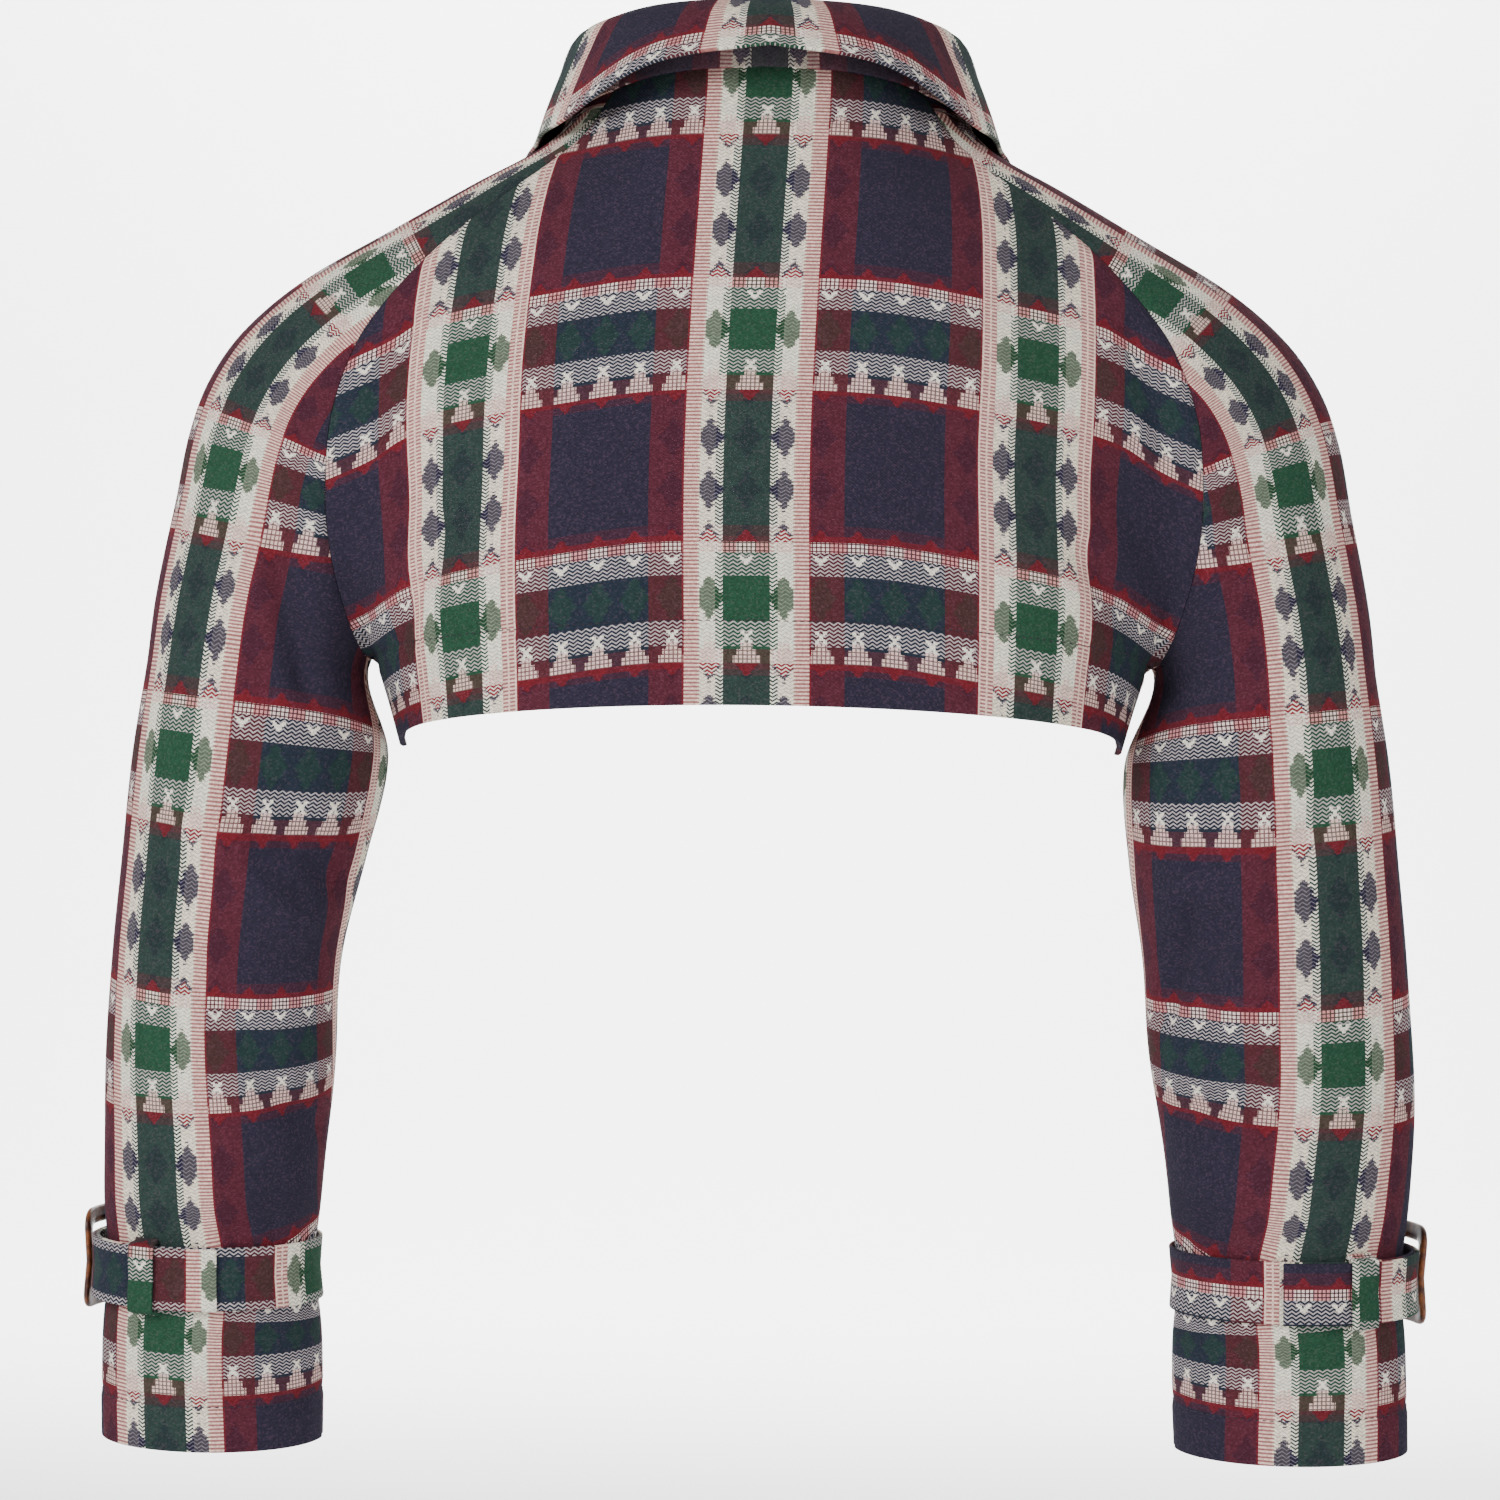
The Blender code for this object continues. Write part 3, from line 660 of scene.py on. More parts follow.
def fan(centre, ridge, edge, columns):
    """Half a sleeve row, from the ridge round to one seam."""
    out = ridge - centre
    out = out / np.linalg.norm(out)
    to_edge = edge - centre
    across = to_edge - out * (to_edge @ out)
    across = across / np.linalg.norm(across)
    end = math.degrees(math.atan2(to_edge @ across, to_edge @ out))
    points = sleeve_ring(centre, out, across, np.linspace(0, end, columns + 1))
    points[-1] = edge
    return points


def arm_centre(z):
    return np.array((read(ARM, "x", z), read(ARM, "y", z), z))


def tilted_ring(form, side_z, angles):
    """A ring round the sleeve, lower at the back as the forearm leans; angles start at the outer side."""
    centre = arm_centre(float(side_z))
    lean = CUFF_TILT * (side_z - UNDERARM[2]) / (CUFF_SIDE_Z - UNDERARM[2])
    across = np.array((0, 1.0, -lean)) / math.hypot(1, lean)
    turn = np.radians(angles)[:, None]
    direction = np.cos(turn) * np.array((1.0, 0, 0)) + np.sin(turn) * across
    start = np.repeat(centre[None], len(angles), axis=0)
    return cast(form, start, start + direction)


def sleeve_levels():
    """Heights of the rings below the underarm."""
    upper = np.linspace(UNDERARM[2], STRAP_Z, ARM_ROWS + 1)
    return np.concatenate((upper[:-1], np.linspace(STRAP_Z, CUFF_SIDE_Z, CUFF_ROWS + 1)))


def sleeve_grid():
    """The left sleeve: rows from neckline to cuff, columns from front seam over the arm to back."""
    seam_back, seam_front = seams()
    half = SLEEVE_COLUMNS // 2
    ridge_z = np.linspace(NECK_SIDE_Z, UNDERARM[2], 40)
    ridge_x = read(ARM, "x", ridge_z) + read(ARM, "half_width", ridge_z)
    ridge_y = read(ARM, "y", ridge_z)
    ridge = np.stack((ridge_x, ridge_y, ridge_z), axis=-1)
    ridge = along_points(ridge, np.linspace(0, 1, UPPER_ROWS + 1))
    rows = [neckline(np.linspace(NECK_ANGLE_FRONT, NECK_ANGLE_BACK, SLEEVE_COLUMNS + 1))]
    for j in range(1, UPPER_ROWS):
        middle = (seam_back[j] + seam_front[j]) / 2
        centre = middle + (ridge[j] - middle) * 0.5 * (j / UPPER_ROWS)
        to_back = fan(centre, ridge[j], seam_back[j], half)
        to_front = fan(centre, ridge[j], seam_front[j], half)
        rows.append(np.concatenate((to_front[::-1], to_back[1:])))
    angles = np.linspace(-180, 180, SLEEVE_COLUMNS + 1)
    for level in sleeve_levels():
        rows.append(tilted_ring(sleeve_form, level, angles))
    rows[UPPER_ROWS][0] = UNDERARM
    rows[UPPER_ROWS][-1] = UNDERARM
    return np.array(rows)


def mirrored(grid):
    """The same grid for the other side of the garment, its columns reversed to face outward."""
    return (grid * np.array((-1.0, 1, 1)))[:, ::-1]


def posed(grid, side):
    """Points of the left sleeve, or of what lies on it, as they hang on the named side."""
    z = grid[..., 2]
    centre = read(ARM, "x", z)
    wider = read(POSE, f"{side}_wider", z) / read(ARM, "half_width", z)
    moved = grid.copy()
    moved[..., 0] += (grid[..., 0] - centre) * wider + read(POSE, f"{side}_shift", z)
    return moved


def grid_normals(grid):
    """Normals of a grid from its own points."""
    down = np.gradient(grid, axis=0)
    along = np.gradient(grid, axis=1)
    normal = np.cross(down, along)
    return normal / np.linalg.norm(normal, axis=-1, keepdims=True)


def lengths(grid, axis):
    """Length along a line of points, or along the cloth from the first row or column."""
    step = np.linalg.norm(np.diff(grid, axis=axis), axis=-1)
    total = np.cumsum(step, axis=axis)
    return np.concatenate((np.zeros_like(total.take([0], axis=axis)), total), axis=axis)


def edge_distance(grid, side):
    """Length along the cloth from each point to a named edge."""
    axis = 1 if "column" in side else 0
    run = lengths(grid, axis)
    if side.startswith("last"):
        run = run.take([-1], axis=axis) - run
    return run


def groove(distance, at, width, depth):
    return -depth * np.exp(-((distance - at) / width) ** 2)


def seam_relief(grid, sides, depth):
    """The cloth dips into each seam, and swells a little beside it where the allowances lie."""
    total = np.zeros(grid.shape[:2])
    for side in sides:
        run = edge_distance(grid, side)
        swell = groove(run, SEAM_SWELL_PLACE, SEAM_SWELL_WIDTH, depth * SEAM_SWELL_SHARE)
        total += groove(run, 0, SEAM_DIP, depth) - swell
    return total


def pull_from_edges(grid, sides, gap):
    """Draw the named edges of a grid back by half a seam gap, along the cloth."""
    grid = grid.copy()
    moves = {"first_column": (np.s_[:, 0], np.s_[:, 1]), "last_column": (np.s_[:, -1], np.s_[:, -2])}
    for name in sides:
        at, inner = moves[name]
        step = grid[inner] - grid[at]
        grid[at] = grid[at] + step / np.linalg.norm(step, axis=-1, keepdims=True) * gap / 2
    return grid


def develop(grid, normal, column, lines):
    """Lay a grid of cloth out flat, to its cut: u round from a column of straight grain, v along it."""
    flat = np.zeros(grid.shape[:2] + (2,))
    flat[:, column, 1] = lines
    down = np.gradient(grid[:, column], axis=0)
    down /= np.linalg.norm(down, axis=-1, keepdims=True)
    for direction in (1, -1):
        grain = down.copy()
        at = column
        while 0 <= at + direction < grid.shape[1]:
            following = at + direction
            step = grid[:, following] - grid[:, at]
            facing = normal[:, following]
            grain = grain - facing * (grain * facing).sum(-1, keepdims=True)
            grain /= np.linalg.norm(grain, axis=-1, keepdims=True)
            across = np.cross(facing, grain)
            flat[:, following, 0] = flat[:, at, 0] + (step * across).sum(-1)
            flat[:, following, 1] = flat[:, at, 1] + (step * grain).sum(-1)
            at = following
    return flat


def stripe_at(name, z):
    return read(STRIPE, name, z)


def panel_cloth(grid, start):
    """Where the check lies on a body panel: arc length along its rows, cloth length by height."""
    drop = read(DROP, "drop", np.abs(grid[..., 0]))
    v = read(BACK_CLOTH, "v", grid[..., 2] + drop)
    level = grid * (1, 1, 0)
    return np.stack((lengths(level, 1) + start, v), axis=-1)


def srgb(red, green, blue):
    """A colour given in eight-bit steps, as a shader takes it."""
    parts = (c / 255 for c in (red, green, blue))
    return tuple(c / 12.92 if c < 0.04045 else ((c + 0.055) / 1.055) ** 2.4 for c in parts) + (1,)


class Term:
    """A number in a material's nodes, so that a pattern is written as a sum."""

    def __init__(self, tree, socket):
        self.tree = tree
        self.socket = socket

    def made(self, operation, *others):
        node = self.tree.nodes.new("ShaderNodeMath")
        node.operation = operation
        for socket, value in zip(node.inputs, (self, *others)):
            if isinstance(value, Term):
                self.tree.links.new(value.socket, socket)
            else:
                socket.default_value = value
        return Term(self.tree, node.outputs[0])

    def __add__(self, other):
        return self.made("ADD", other)

    def __sub__(self, other):
        return self.made("SUBTRACT", other)

    def __mul__(self, other):
        return self.made("MULTIPLY", other)

    def folded(self, period):
        """Distance to the nearest whole number of periods."""
        shifted = (self + period / 2).wrapped(period) - period / 2
        return shifted.made("ABSOLUTE")

    def wrapped(self, period):
        return self.made("FLOORED_MODULO", period)

    def stepped(self, size):
        """The middle of the yarn that this place falls on."""
        return (self * (1 / size)).made("FLOOR") * size + size / 2

    def below(self, limit):
        return self.made("LESS_THAN", limit)

    def above(self, limit):
        return self.made("GREATER_THAN", limit)

    def between(self, low, high):
        return self.above(low) * self.below(high)

    def off(self):
        """1 where this is 0 and the other way round."""
        return (self * -1) + 1


def mixed(tree, share, first, second, blend="MIX"):
    """Mix two colours by a share; each is a colour or a socket."""
    node = tree.nodes.new("ShaderNodeMix")
    node.data_type = "RGBA"
    node.blend_type = blend
    for socket, value in ((node.inputs[0], share), (node.inputs[6], first), (node.inputs[7], second)):
        if isinstance(value, Term):
            value = value.socket
        if isinstance(value, bpy.types.NodeSocket):
            tree.links.new(value, socket)
        else:
            socket.default_value = value
    return node.outputs[2]


def stripes(tree, place, colours):
    """The colour of each stripe by its distance from the middle of the green one."""
    node = tree.nodes.new("ShaderNodeValToRGB")
    node.color_ramp.interpolation = "CONSTANT"
    ends = (0, GREEN_END, DOTTED_END, CREAM_END, LADDER_END, MARGIN_END)
    elements = node.color_ramp.elements
    while len(elements) < len(ends):
        elements.new(0.5)
    for element, end, colour in zip(elements, ends, colours):
        element.position = end / (REPEAT / 2)
        element.color = srgb(*colour)
    tree.links.new((place * (2 / REPEAT)).socket, node.inputs[0])
    return node.outputs[0]


def yarn_chance(tree, column, row):
    """A number from 0 to 1 that differs from one yarn crossing to the next."""
    place = tree.nodes.new("ShaderNodeCombineXYZ")
    tree.links.new(column.socket, place.inputs["X"])
    tree.links.new(row.socket, place.inputs["Y"])
    node = tree.nodes.new("ShaderNodeTexWhiteNoise")
    node.noise_dimensions = "2D"
    tree.links.new(place.outputs[0], node.inputs["Vector"])
    return Term(tree, node.outputs["Value"])


def pointed(across, along, half, jag=0.0):
    """A motif pointed each way, by its half width and half height; a jag steps its edges."""
    shape = across * (1 / half[0]) + along * (1 / half[1])
    if jag:
        shape = shape + along.wrapped(JAG_SPACING) * jag
    return shape.below(1)


def check_parts(tree, u, v):
    """The places on the check and the masks of its stripes, which all its parts share."""
    across = u.stepped(YARN_ACROSS)
    parts = SimpleNamespace(place=across.folded(REPEAT), lattice=across.folded(MOTIF))
    parts.run = v.stepped(YARN_ALONG).wrapped(REPEAT)
    parts.band = parts.run - BAND_START
    column = (u * (1 / YARN_ACROSS)).made("FLOOR")
    row = (v * (1 / YARN_ALONG)).made("FLOOR")
    parts.chance = yarn_chance(tree, column, row)
    parts.zigzag = ((v + u.folded(CHEVRON) * CHEVRON_SLOPE) * (1 / CHEVRON_RISE)).wrapped(1)
    parts.knit = parts.zigzag.below(0.42)
    parts.lace = (u * (1 / LACE)).wrapped(1).below(0.68) * (v * (1 / LACE)).wrapped(1).below(0.7)
    parts.green = parts.place.below(GREEN_END)
    parts.ladder = parts.place.between(CREAM_END, LADDER_END)
    parts.margin = parts.place.between(LADDER_END, MARGIN_END)
    parts.light = parts.place.between(GREEN_END, LADDER_END)
    parts.dark = parts.light.off()
    parts.figured = parts.ladder.off()
    near = (parts.run + 2).folded(TREE_SPACING)
    parts.trees = pointed(parts.lattice, near, TREE_HALF, TREE_JAG)
    off_middle = (parts.band - LEAF_MIDDLE).made("ABSOLUTE")
    parts.leaf = pointed(parts.lattice, off_middle, LEAF_HALF, LEAF_JAG) * parts.band.between(*LEAF_ROWS)
    return parts


def motif_colour(tree, parts, on_margin, on_dark, chevron_dark, chevron_pale):
    """The colour of a tree or leaf on the margin, on the dark stripes and on the light ones."""
    colour = mixed(tree, parts.margin, srgb(*on_dark), srgb(*on_margin))
    chevrons = mixed(tree, parts.zigzag.below(0.3), srgb(*chevron_dark), srgb(*chevron_pale))
    return mixed(tree, parts.light, colour, chevrons)


def block_colour(tree, parts):
    """The block of the check: rows of little trees, with red teeth and an edge row at its ends."""
    colour = stripes(tree, parts.place, ((50, 66, 62), (54, 70, 64), (255, 242, 220),
                                         (248, 212, 198), (88, 42, 54), (50, 46, 62)))
    ends = parts.run.between(*BLOCK_ROWS).off()
    end_colour = mixed(tree, parts.light, srgb(92, 38, 50), srgb(238, 196, 188))
    colour = mixed(tree, ends * 0.35, colour, end_colour)
    tree_colour = motif_colour(tree, parts, (60, 34, 50), (38, 44, 54), (38, 36, 58), (112, 104, 118))
    shown = parts.trees * parts.place.below(MARGIN_END) * parts.figured
    colour = mixed(tree, shown * (parts.light * 0.45 + 0.5), colour, tree_colour)
    to_end = parts.run.folded(BAND_START)
    on_light = mixed(tree, parts.knit, srgb(156, 44, 54), srgb(*WHITE))
    teeth_colour = mixed(tree, parts.light, srgb(118, 36, 44), on_light)
    teeth = pointed(parts.lattice, to_end, TEETH_HALF)
    colour = mixed(tree, teeth * parts.figured * 0.8, colour, teeth_colour)
    edge_row = to_end.below(EDGE_ROW) * parts.dark * (parts.green * -0.7 + 1)
    return mixed(tree, edge_row * 0.7, colour, srgb(116, 36, 44))


def band_colour(tree, parts):
    """The band of the check: leaves between rows of twill, with comb, crown, arrow and star."""
    band = parts.band
    colour = stripes(tree, parts.place, ((44, 80, 60), (48, 80, 66), (255, 250, 230),
                                         (248, 212, 198), (84, 44, 50), (42, 50, 62)))
    leaf_colour = motif_colour(tree, parts, (62, 56, 50), (42, 70, 58), (36, 68, 50), (104, 122, 98))
    shown = parts.leaf * parts.green.off() * parts.figured
    colour = mixed(tree, shown * (parts.light * 0.4 + 0.5), colour, leaf_colour)
    twill = band.between(COMB_END, LEAF_ROWS[0]) + band.between(LEAF_ROWS[1], TWILL_END)
    colour = mixed(tree, twill * parts.knit * parts.dark * 0.85, colour, srgb(204, 192, 194))
    rows = band.below(COMB_END) + band.above(LAST_ROWS)
    colour = mixed(tree, rows * parts.dark * 0.5, colour, srgb(96, 46, 54))
    colour = mixed(tree, rows * parts.light * parts.figured * 0.5, colour, srgb(236, 176, 168))
    comb_colour = mixed(tree, parts.lattice.below(COMB_TOOTH), srgb(226, 154, 152), srgb(255, 232, 222))
    comb = band.below(COMB_END) * parts.lace
    colour = mixed(tree, comb * parts.figured, colour, comb_colour)
    tiers = [band.between(tier["start"], tier["end"]) * parts.lattice.below(tier["half_width"])
             for tier in rows_of(CROWN)]
    crown = (tiers[0] + tiers[1] + tiers[2]) * (parts.lace * 0.85 + 0.15)
    colour = mixed(tree, crown * parts.figured, colour, srgb(244, 208, 198))
    from_arm = parts.lattice - (band * -1 + ARROW_TIP) * ARM_SLOPE
    arrow = from_arm.made("ABSOLUTE").below(1.1) * band.between(*ARROW_ROWS)
    from_ray = parts.lattice - (band - STAR_MIDDLE).made("ABSOLUTE") * ARM_SLOPE
    star = from_ray.made("ABSOLUTE").below(0.95) * band.between(*STAR_ROWS)
    return mixed(tree, (arrow + star) * parts.figured, colour, srgb(*WHITE))


def checked_colour(tree, u, v):
    """The woven check, with the knit of its chevrons and the chance of each yarn crossing."""
    parts = check_parts(tree, u, v)
    place = parts.place
    in_band = parts.run.above(BAND_START)
    colour = mixed(tree, in_band, block_colour(tree, parts), band_colour(tree, parts))
    plain = (parts.trees * in_band.off() + parts.leaf).off()
    dots = place.between(GREEN_END, DOTTED_END) * plain * parts.zigzag.below(0.52)
    colour = mixed(tree, dots * 0.95, colour, srgb(*WHITE))
    specks = place.between(DOTTED_END, CREAM_END) * plain * parts.zigzag.above(0.8)
    colour = mixed(tree, specks * 0.6, colour, srgb(96, 84, 82))
    across_ladder = (place - CREAM_END).wrapped(RUNG_SPACING).below(2.9)
    rungs = (v * (1 / RUNG)).wrapped(1).below(0.5) * across_ladder
    colour = mixed(tree, rungs * parts.ladder * 0.8, colour, srgb(142, 50, 60))
    line = place.between(LADDER_END, LADDER_END + 1)
    colour = mixed(tree, line * 0.6, colour, srgb(132, 38, 46))
    fleck = parts.chance.above(0.86) * parts.dark
    return mixed(tree, fleck * 0.14, colour, srgb(104, 66, 84)), parts.knit, parts.chance


def new_material(name, roughness, specular):
    material = bpy.data.materials.new(name)
    material.use_nodes = True
    shader = material.node_tree.nodes["Principled BSDF"]
    shader.inputs["Roughness"].default_value = roughness
    shader.inputs["Specular IOR Level"].default_value = specular
    return material, material.node_tree, shader


def noise(tree, scale, detail=2.0):
    node = tree.nodes.new("ShaderNodeTexNoise")
    node.inputs["Scale"].default_value = scale
    node.inputs["Detail"].default_value = detail
    place = tree.nodes.new("ShaderNodeTexCoord")
    tree.links.new(place.outputs["Object"], node.inputs["Vector"])
    return Term(tree, node.outputs["Fac"])


def bumped(tree, shader, height, distance, strength):
    node = tree.nodes.new("ShaderNodeBump")
    node.inputs["Distance"].default_value = distance
    node.inputs["Strength"].default_value = strength
    tree.links.new(height.socket, node.inputs["Height"])
    tree.links.new(node.outputs["Normal"], shader.inputs["Normal"])


@functools.lru_cache(maxsize=None)
def cloth_material(reverse):
    """The checked woollen cloth; its reverse shows the check muted."""
    name = "cloth_reverse" if reverse else "cloth_check"
    material, tree, shader = new_material(name, CLOTH_ROUGHNESS, CLOTH_SHINE)
    shader.inputs["Sheen Weight"].default_value = 0.02
    shader.inputs["Sheen Roughness"].default_value = 0.6
    layer = tree.nodes.new("ShaderNodeUVMap")
    layer.uv_map = "cloth"
    parts = tree.nodes.new("ShaderNodeSeparateXYZ")
    tree.links.new(layer.outputs["UV"], parts.inputs[0])
    u = Term(tree, parts.outputs["X"]) * (1 / MM)
    v = Term(tree, parts.outputs["Y"]) * (1 / MM)
    colour, knit, chance = checked_colour(tree, u, v)
    if reverse:
        colour = mixed(tree, REVERSE_MUTED, colour, srgb(92, 78, 88))
    shade = chance * YARN_TONE[0] + YARN_TONE[1]
    worn = noise(tree, WEAR_SCALE) * WEAR_TONE[0] + WEAR_TONE[1]
    tone = tree.nodes.new("ShaderNodeCombineColor")
    for socket in tone.inputs:
        tree.links.new((shade * worn).socket, socket)
    colour = mixed(tree, 1.0, colour, tone.outputs[0], "MULTIPLY")
    tree.links.new(colour, shader.inputs["Base Color"])
    ribs = (u * (1 / RIB_ACROSS) + v * (1 / RIB_ALONG)).wrapped(1).folded(1)
    bumped(tree, shader, ribs + knit * 0.6 + chance * 0.5, distance=0.0004, strength=0.8)
    return material


@functools.lru_cache(maxsize=None)
def buckle_material():
    """Brown polished leather with darker clouds."""
    material, tree, shader = new_material("buckle_brown", roughness=0.32, specular=0.5)
    clouds = noise(tree, 150, 4.0)
    share = ((clouds - 0.42) * 4.0).made("MAXIMUM", 0.0).made("MINIMUM", 1.0)
    colour = mixed(tree, share, srgb(70, 34, 22), srgb(146, 84, 44))
    tree.links.new(colour, shader.inputs["Base Color"])
    bumped(tree, shader, noise(tree, 1400), distance=0.0002, strength=0.35)
    return material


@functools.lru_cache(maxsize=None)
def thread_material():
    """Dark sewing thread, its twist as fine ribs."""
    material, tree, shader = new_material("thread_dark", roughness=0.7, specular=0.3)
    fibre = noise(tree, 2600)
    tree.links.new(mixed(tree, fibre, srgb(26, 24, 34), srgb(58, 48, 62)), shader.inputs["Base Color"])
    bumped(tree, shader, fibre, distance=0.0001, strength=0.4)
    return material


@functools.lru_cache(maxsize=None)
def studio_material():
    """Pale matt studio paper."""
    material, tree, shader = new_material("studio_paper", roughness=0.9, specular=0.1)
    colour = mixed(tree, noise(tree, 3), srgb(250, 250, 250), srgb(246, 246, 247))
    tree.links.new(colour, shader.inputs["Base Color"])
    return material


def linked(name, bm, materials):
    """Finish a mesh as a smooth object in the scene."""
    mesh = bpy.data.meshes.new(name)
    bm.to_mesh(mesh)
    bm.free()
    for material in materials:
        mesh.materials.append(material)
    mesh.shade_smooth()
    obj = bpy.data.objects.new(name, mesh)
    bpy.context.scene.collection.objects.link(obj)
    return obj


def cloth_object(name, grid, normal, flat, thickness):
    """A thin shell of cloth through a grid of points, laid out on the cloth by its flat places."""
    rows, columns = grid.shape[:2]
    bm = bmesh.new()
    bmesh.ops.create_grid(bm, x_segments=columns - 1, y_segments=rows - 1, size=1)
    layer = bm.loops.layers.uv.new("cloth")
    places = {}
    for vert in bm.verts:
        i = round((vert.co.x + 1) / 2 * (columns - 1))
        j = round((vert.co.y + 1) / 2 * (rows - 1))
        places[vert] = (j, i)
        vert.co = grid[j, i] * MM
    bm.faces.ensure_lookup_table()
    middle = bm.faces[len(bm.faces) // 2]
    middle.normal_update()
    if middle.normal.dot(Vector(normal[places[middle.verts[0]]])) < 0:
        bmesh.ops.reverse_faces(bm, faces=bm.faces[:])
    for face in bm.faces:
        for loop in face.loops:
            loop[layer].uv = flat[places[loop.vert]] * MM
    obj = linked(name, bm, (cloth_material(False), cloth_material(True)))
    shell = obj.modifiers.new("thickness", "SOLIDIFY")
    shell.thickness = thickness * MM
    shell.offset = -1
    shell.use_even_offset = False
    shell.thickness_clamp = 1.0
    shell.material_offset = 1
    shell.material_offset_rim = 0
    edge = obj.modifiers.new("rounded_edge", "BEVEL")
    edge.width = thickness * MM * EDGE_ROUNDING
    edge.segments = 2
    edge.limit_method = "ANGLE"
    edge.angle_limit = math.radians(EDGE_ANGLE)
    edge.use_clamp_overlap = True
    return obj


def stitched(name, points, normal):
    """A row of small stitches along a line on the cloth."""
    length = lengths(points, 0)
    count = max(2, int(length[-1] / STITCH_PITCH))
    bm = bmesh.new()
    for place in (np.arange(count) + 0.5) / count * length[-1]:
        at, ahead, up = (np.array([np.interp(place + shift, length, line[:, k]) for k in range(3)])
                         for line, shift in ((points, 0), (points, 0.5), (normal, 0)))
        along = Vector(ahead - at).normalized()
        lift = Vector(up).normalized()
        side = lift.cross(along).normalized()
        turn = Matrix((along, side, along.cross(side))).transposed().to_4x4()
        size = Matrix.Diagonal((STITCH_LENGTH / 2, STITCH_RADIUS, STITCH_RADIUS, 1))
        centre = (Vector(at) + lift * STITCH_RADIUS * 0.3) * MM
        placed = Matrix.Translation(centre) @ turn @ (Matrix.Scale(MM, 4) @ size)
        bmesh.ops.create_icosphere(bm, subdivisions=1, radius=1, matrix=placed)
    obj = linked(name, bm, (thread_material(),))
    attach(obj, "root")
    return obj


def row_at(grid, normal, depth):
    """The line on a grid that lies a given length above its last row, and the normals on it."""
    distance = edge_distance(grid, "last_row")
    points = np.empty((grid.shape[1], 3))
    ups = np.empty_like(points)
    for i in range(grid.shape[1]):
        run = distance[:, i][::-1]
        for k in range(3):
            points[i, k] = np.interp(depth, run, grid[::-1, i, k])
            ups[i, k] = np.interp(depth, run, normal[::-1, i, k])
    return points, ups


def settled_cloth(obj, node):
    """Attach a finished piece of cloth to the root, and hide its node's part from model.glb."""
    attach(obj, "root")
    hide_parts(node)


def settings():
    return bpy.context.scene.bolero


def dressed(grid, normal, seam_sides, relief):
    """A panel with creases, seams and hem relief, its edges drawn back for the seams."""
    chosen = settings()
    height = crease_height(grid, normal) + seam_relief(grid, seam_sides, chosen.seam_depth / MM) + relief
    return pull_from_edges(grid + normal * height[..., None], seam_sides, SEAM_GAP)


def hem_relief(grid, depth):
    """The turned hem: a pressed line at its stitching, and a fuller edge below."""
    run = edge_distance(grid, "last_row")
    fuller = HEM_FULLNESS * smoothstep((depth - run) / 3)
    return groove(run, depth, *HEM_PRESS) + fuller - HEM_FULLNESS


def build_back():
    """The back panel, its hem stitched and a pressed line along its neck."""
    seam_back, _ = seams()
    edge, share = panel_edge(seam_back)
    centre_z = BACK_NECK_Z + (BACK_HEM_Z - BACK_NECK_Z) * share
    half = panel_rows(edge, centre_z, 0 * share, BACK_COLUMNS // 2, (0, NECK_ANGLE_BACK), True)
    normal = outward(body_form, half)
    normal[:UPPER_ROWS + 1, -1] = edge_normals(seam_back)
    flat = panel_cloth(half, 0)
    grid = np.concatenate((mirrored(half)[:, :-1], half), axis=1)
    normal = np.concatenate((mirrored(normal)[:, :-1], normal), axis=1)
    flat = np.concatenate((flat[:, ::-1][:, :-1] * (-1, 1), flat), axis=1)
    flat[..., 0] -= stripe_at("back", grid[..., 2])
    neck_line = groove(edge_distance(grid, "first_row"), NECK_STITCH_DEPTH, *NECK_PRESS)
    relief = hem_relief(grid, HEM_DEPTH) + neck_line
    outer = dressed(grid, normal, ("first_column", "last_column"), relief)
    obj = cloth_object("back_cloth", outer, normal, flat, settings().cloth_thickness / MM)
    hem = stitched("back_hem_stitching", *row_at(outer, normal, HEM_DEPTH))
    settled_cloth(obj, "back")


def build_fronts():
    """The two front panels, plain and open."""
    _, seam_front = seams()
    edge, share = panel_edge(seam_front)
    centre_z = neckline([NECK_ANGLE_OPEN])[0, 2] * (1 - share) + FRONT_HEM_Z * share
    opening = FRONT_OPENING_TOP + (FRONT_OPENING_HEM - FRONT_OPENING_TOP) * share
    half = panel_rows(edge, centre_z, opening, FRONT_COLUMNS, (NECK_ANGLE_OPEN, NECK_ANGLE_FRONT), False)
    normal = outward(body_form, half)
    normal[:UPPER_ROWS + 1, -1] = edge_normals(seam_front)
    flat = panel_cloth(half, FRONT_STRIPE)
    grid, normal, flat = half[:, ::-1], normal[:, ::-1], flat[:, ::-1]
    for side, seam_side in (("left", "first_column"), ("right", "last_column")):
        if side == "right":
            grid, normal, flat = mirrored(grid), mirrored(normal), flat[:, ::-1] * (-1, 1)
        outer = dressed(grid, normal, (seam_side,), hem_relief(grid, HEM_DEPTH))
        obj = cloth_object(f"front_{side}_cloth", outer, normal, flat, settings().cloth_thickness / MM)
        hem = stitched(f"front_{side}_hem_stitching", *row_at(outer, normal, HEM_DEPTH))
        settled_cloth(obj, f"front_{side}")


def gather_height(grid, columns):
    """Small gathers above and below the strap, fading away from it."""
    angles = np.linspace(-180, 180, columns)
    total = np.zeros(grid.shape[:2])
    away = np.abs(grid[..., 2] - STRAP_Z + CUFF_TILT * 0.5 * grid[..., 1])
    fade = np.exp(-(away / GATHER_REACH) ** 2) * smoothstep((away - STRAP_WIDTH / 4) / (STRAP_WIDTH / 4))
    for gather in rows_of(GATHERS):
        total -= gather["depth"] * np.exp(-((angles - gather["angle"]) / gather["width"]) ** 2) * fade
    return total


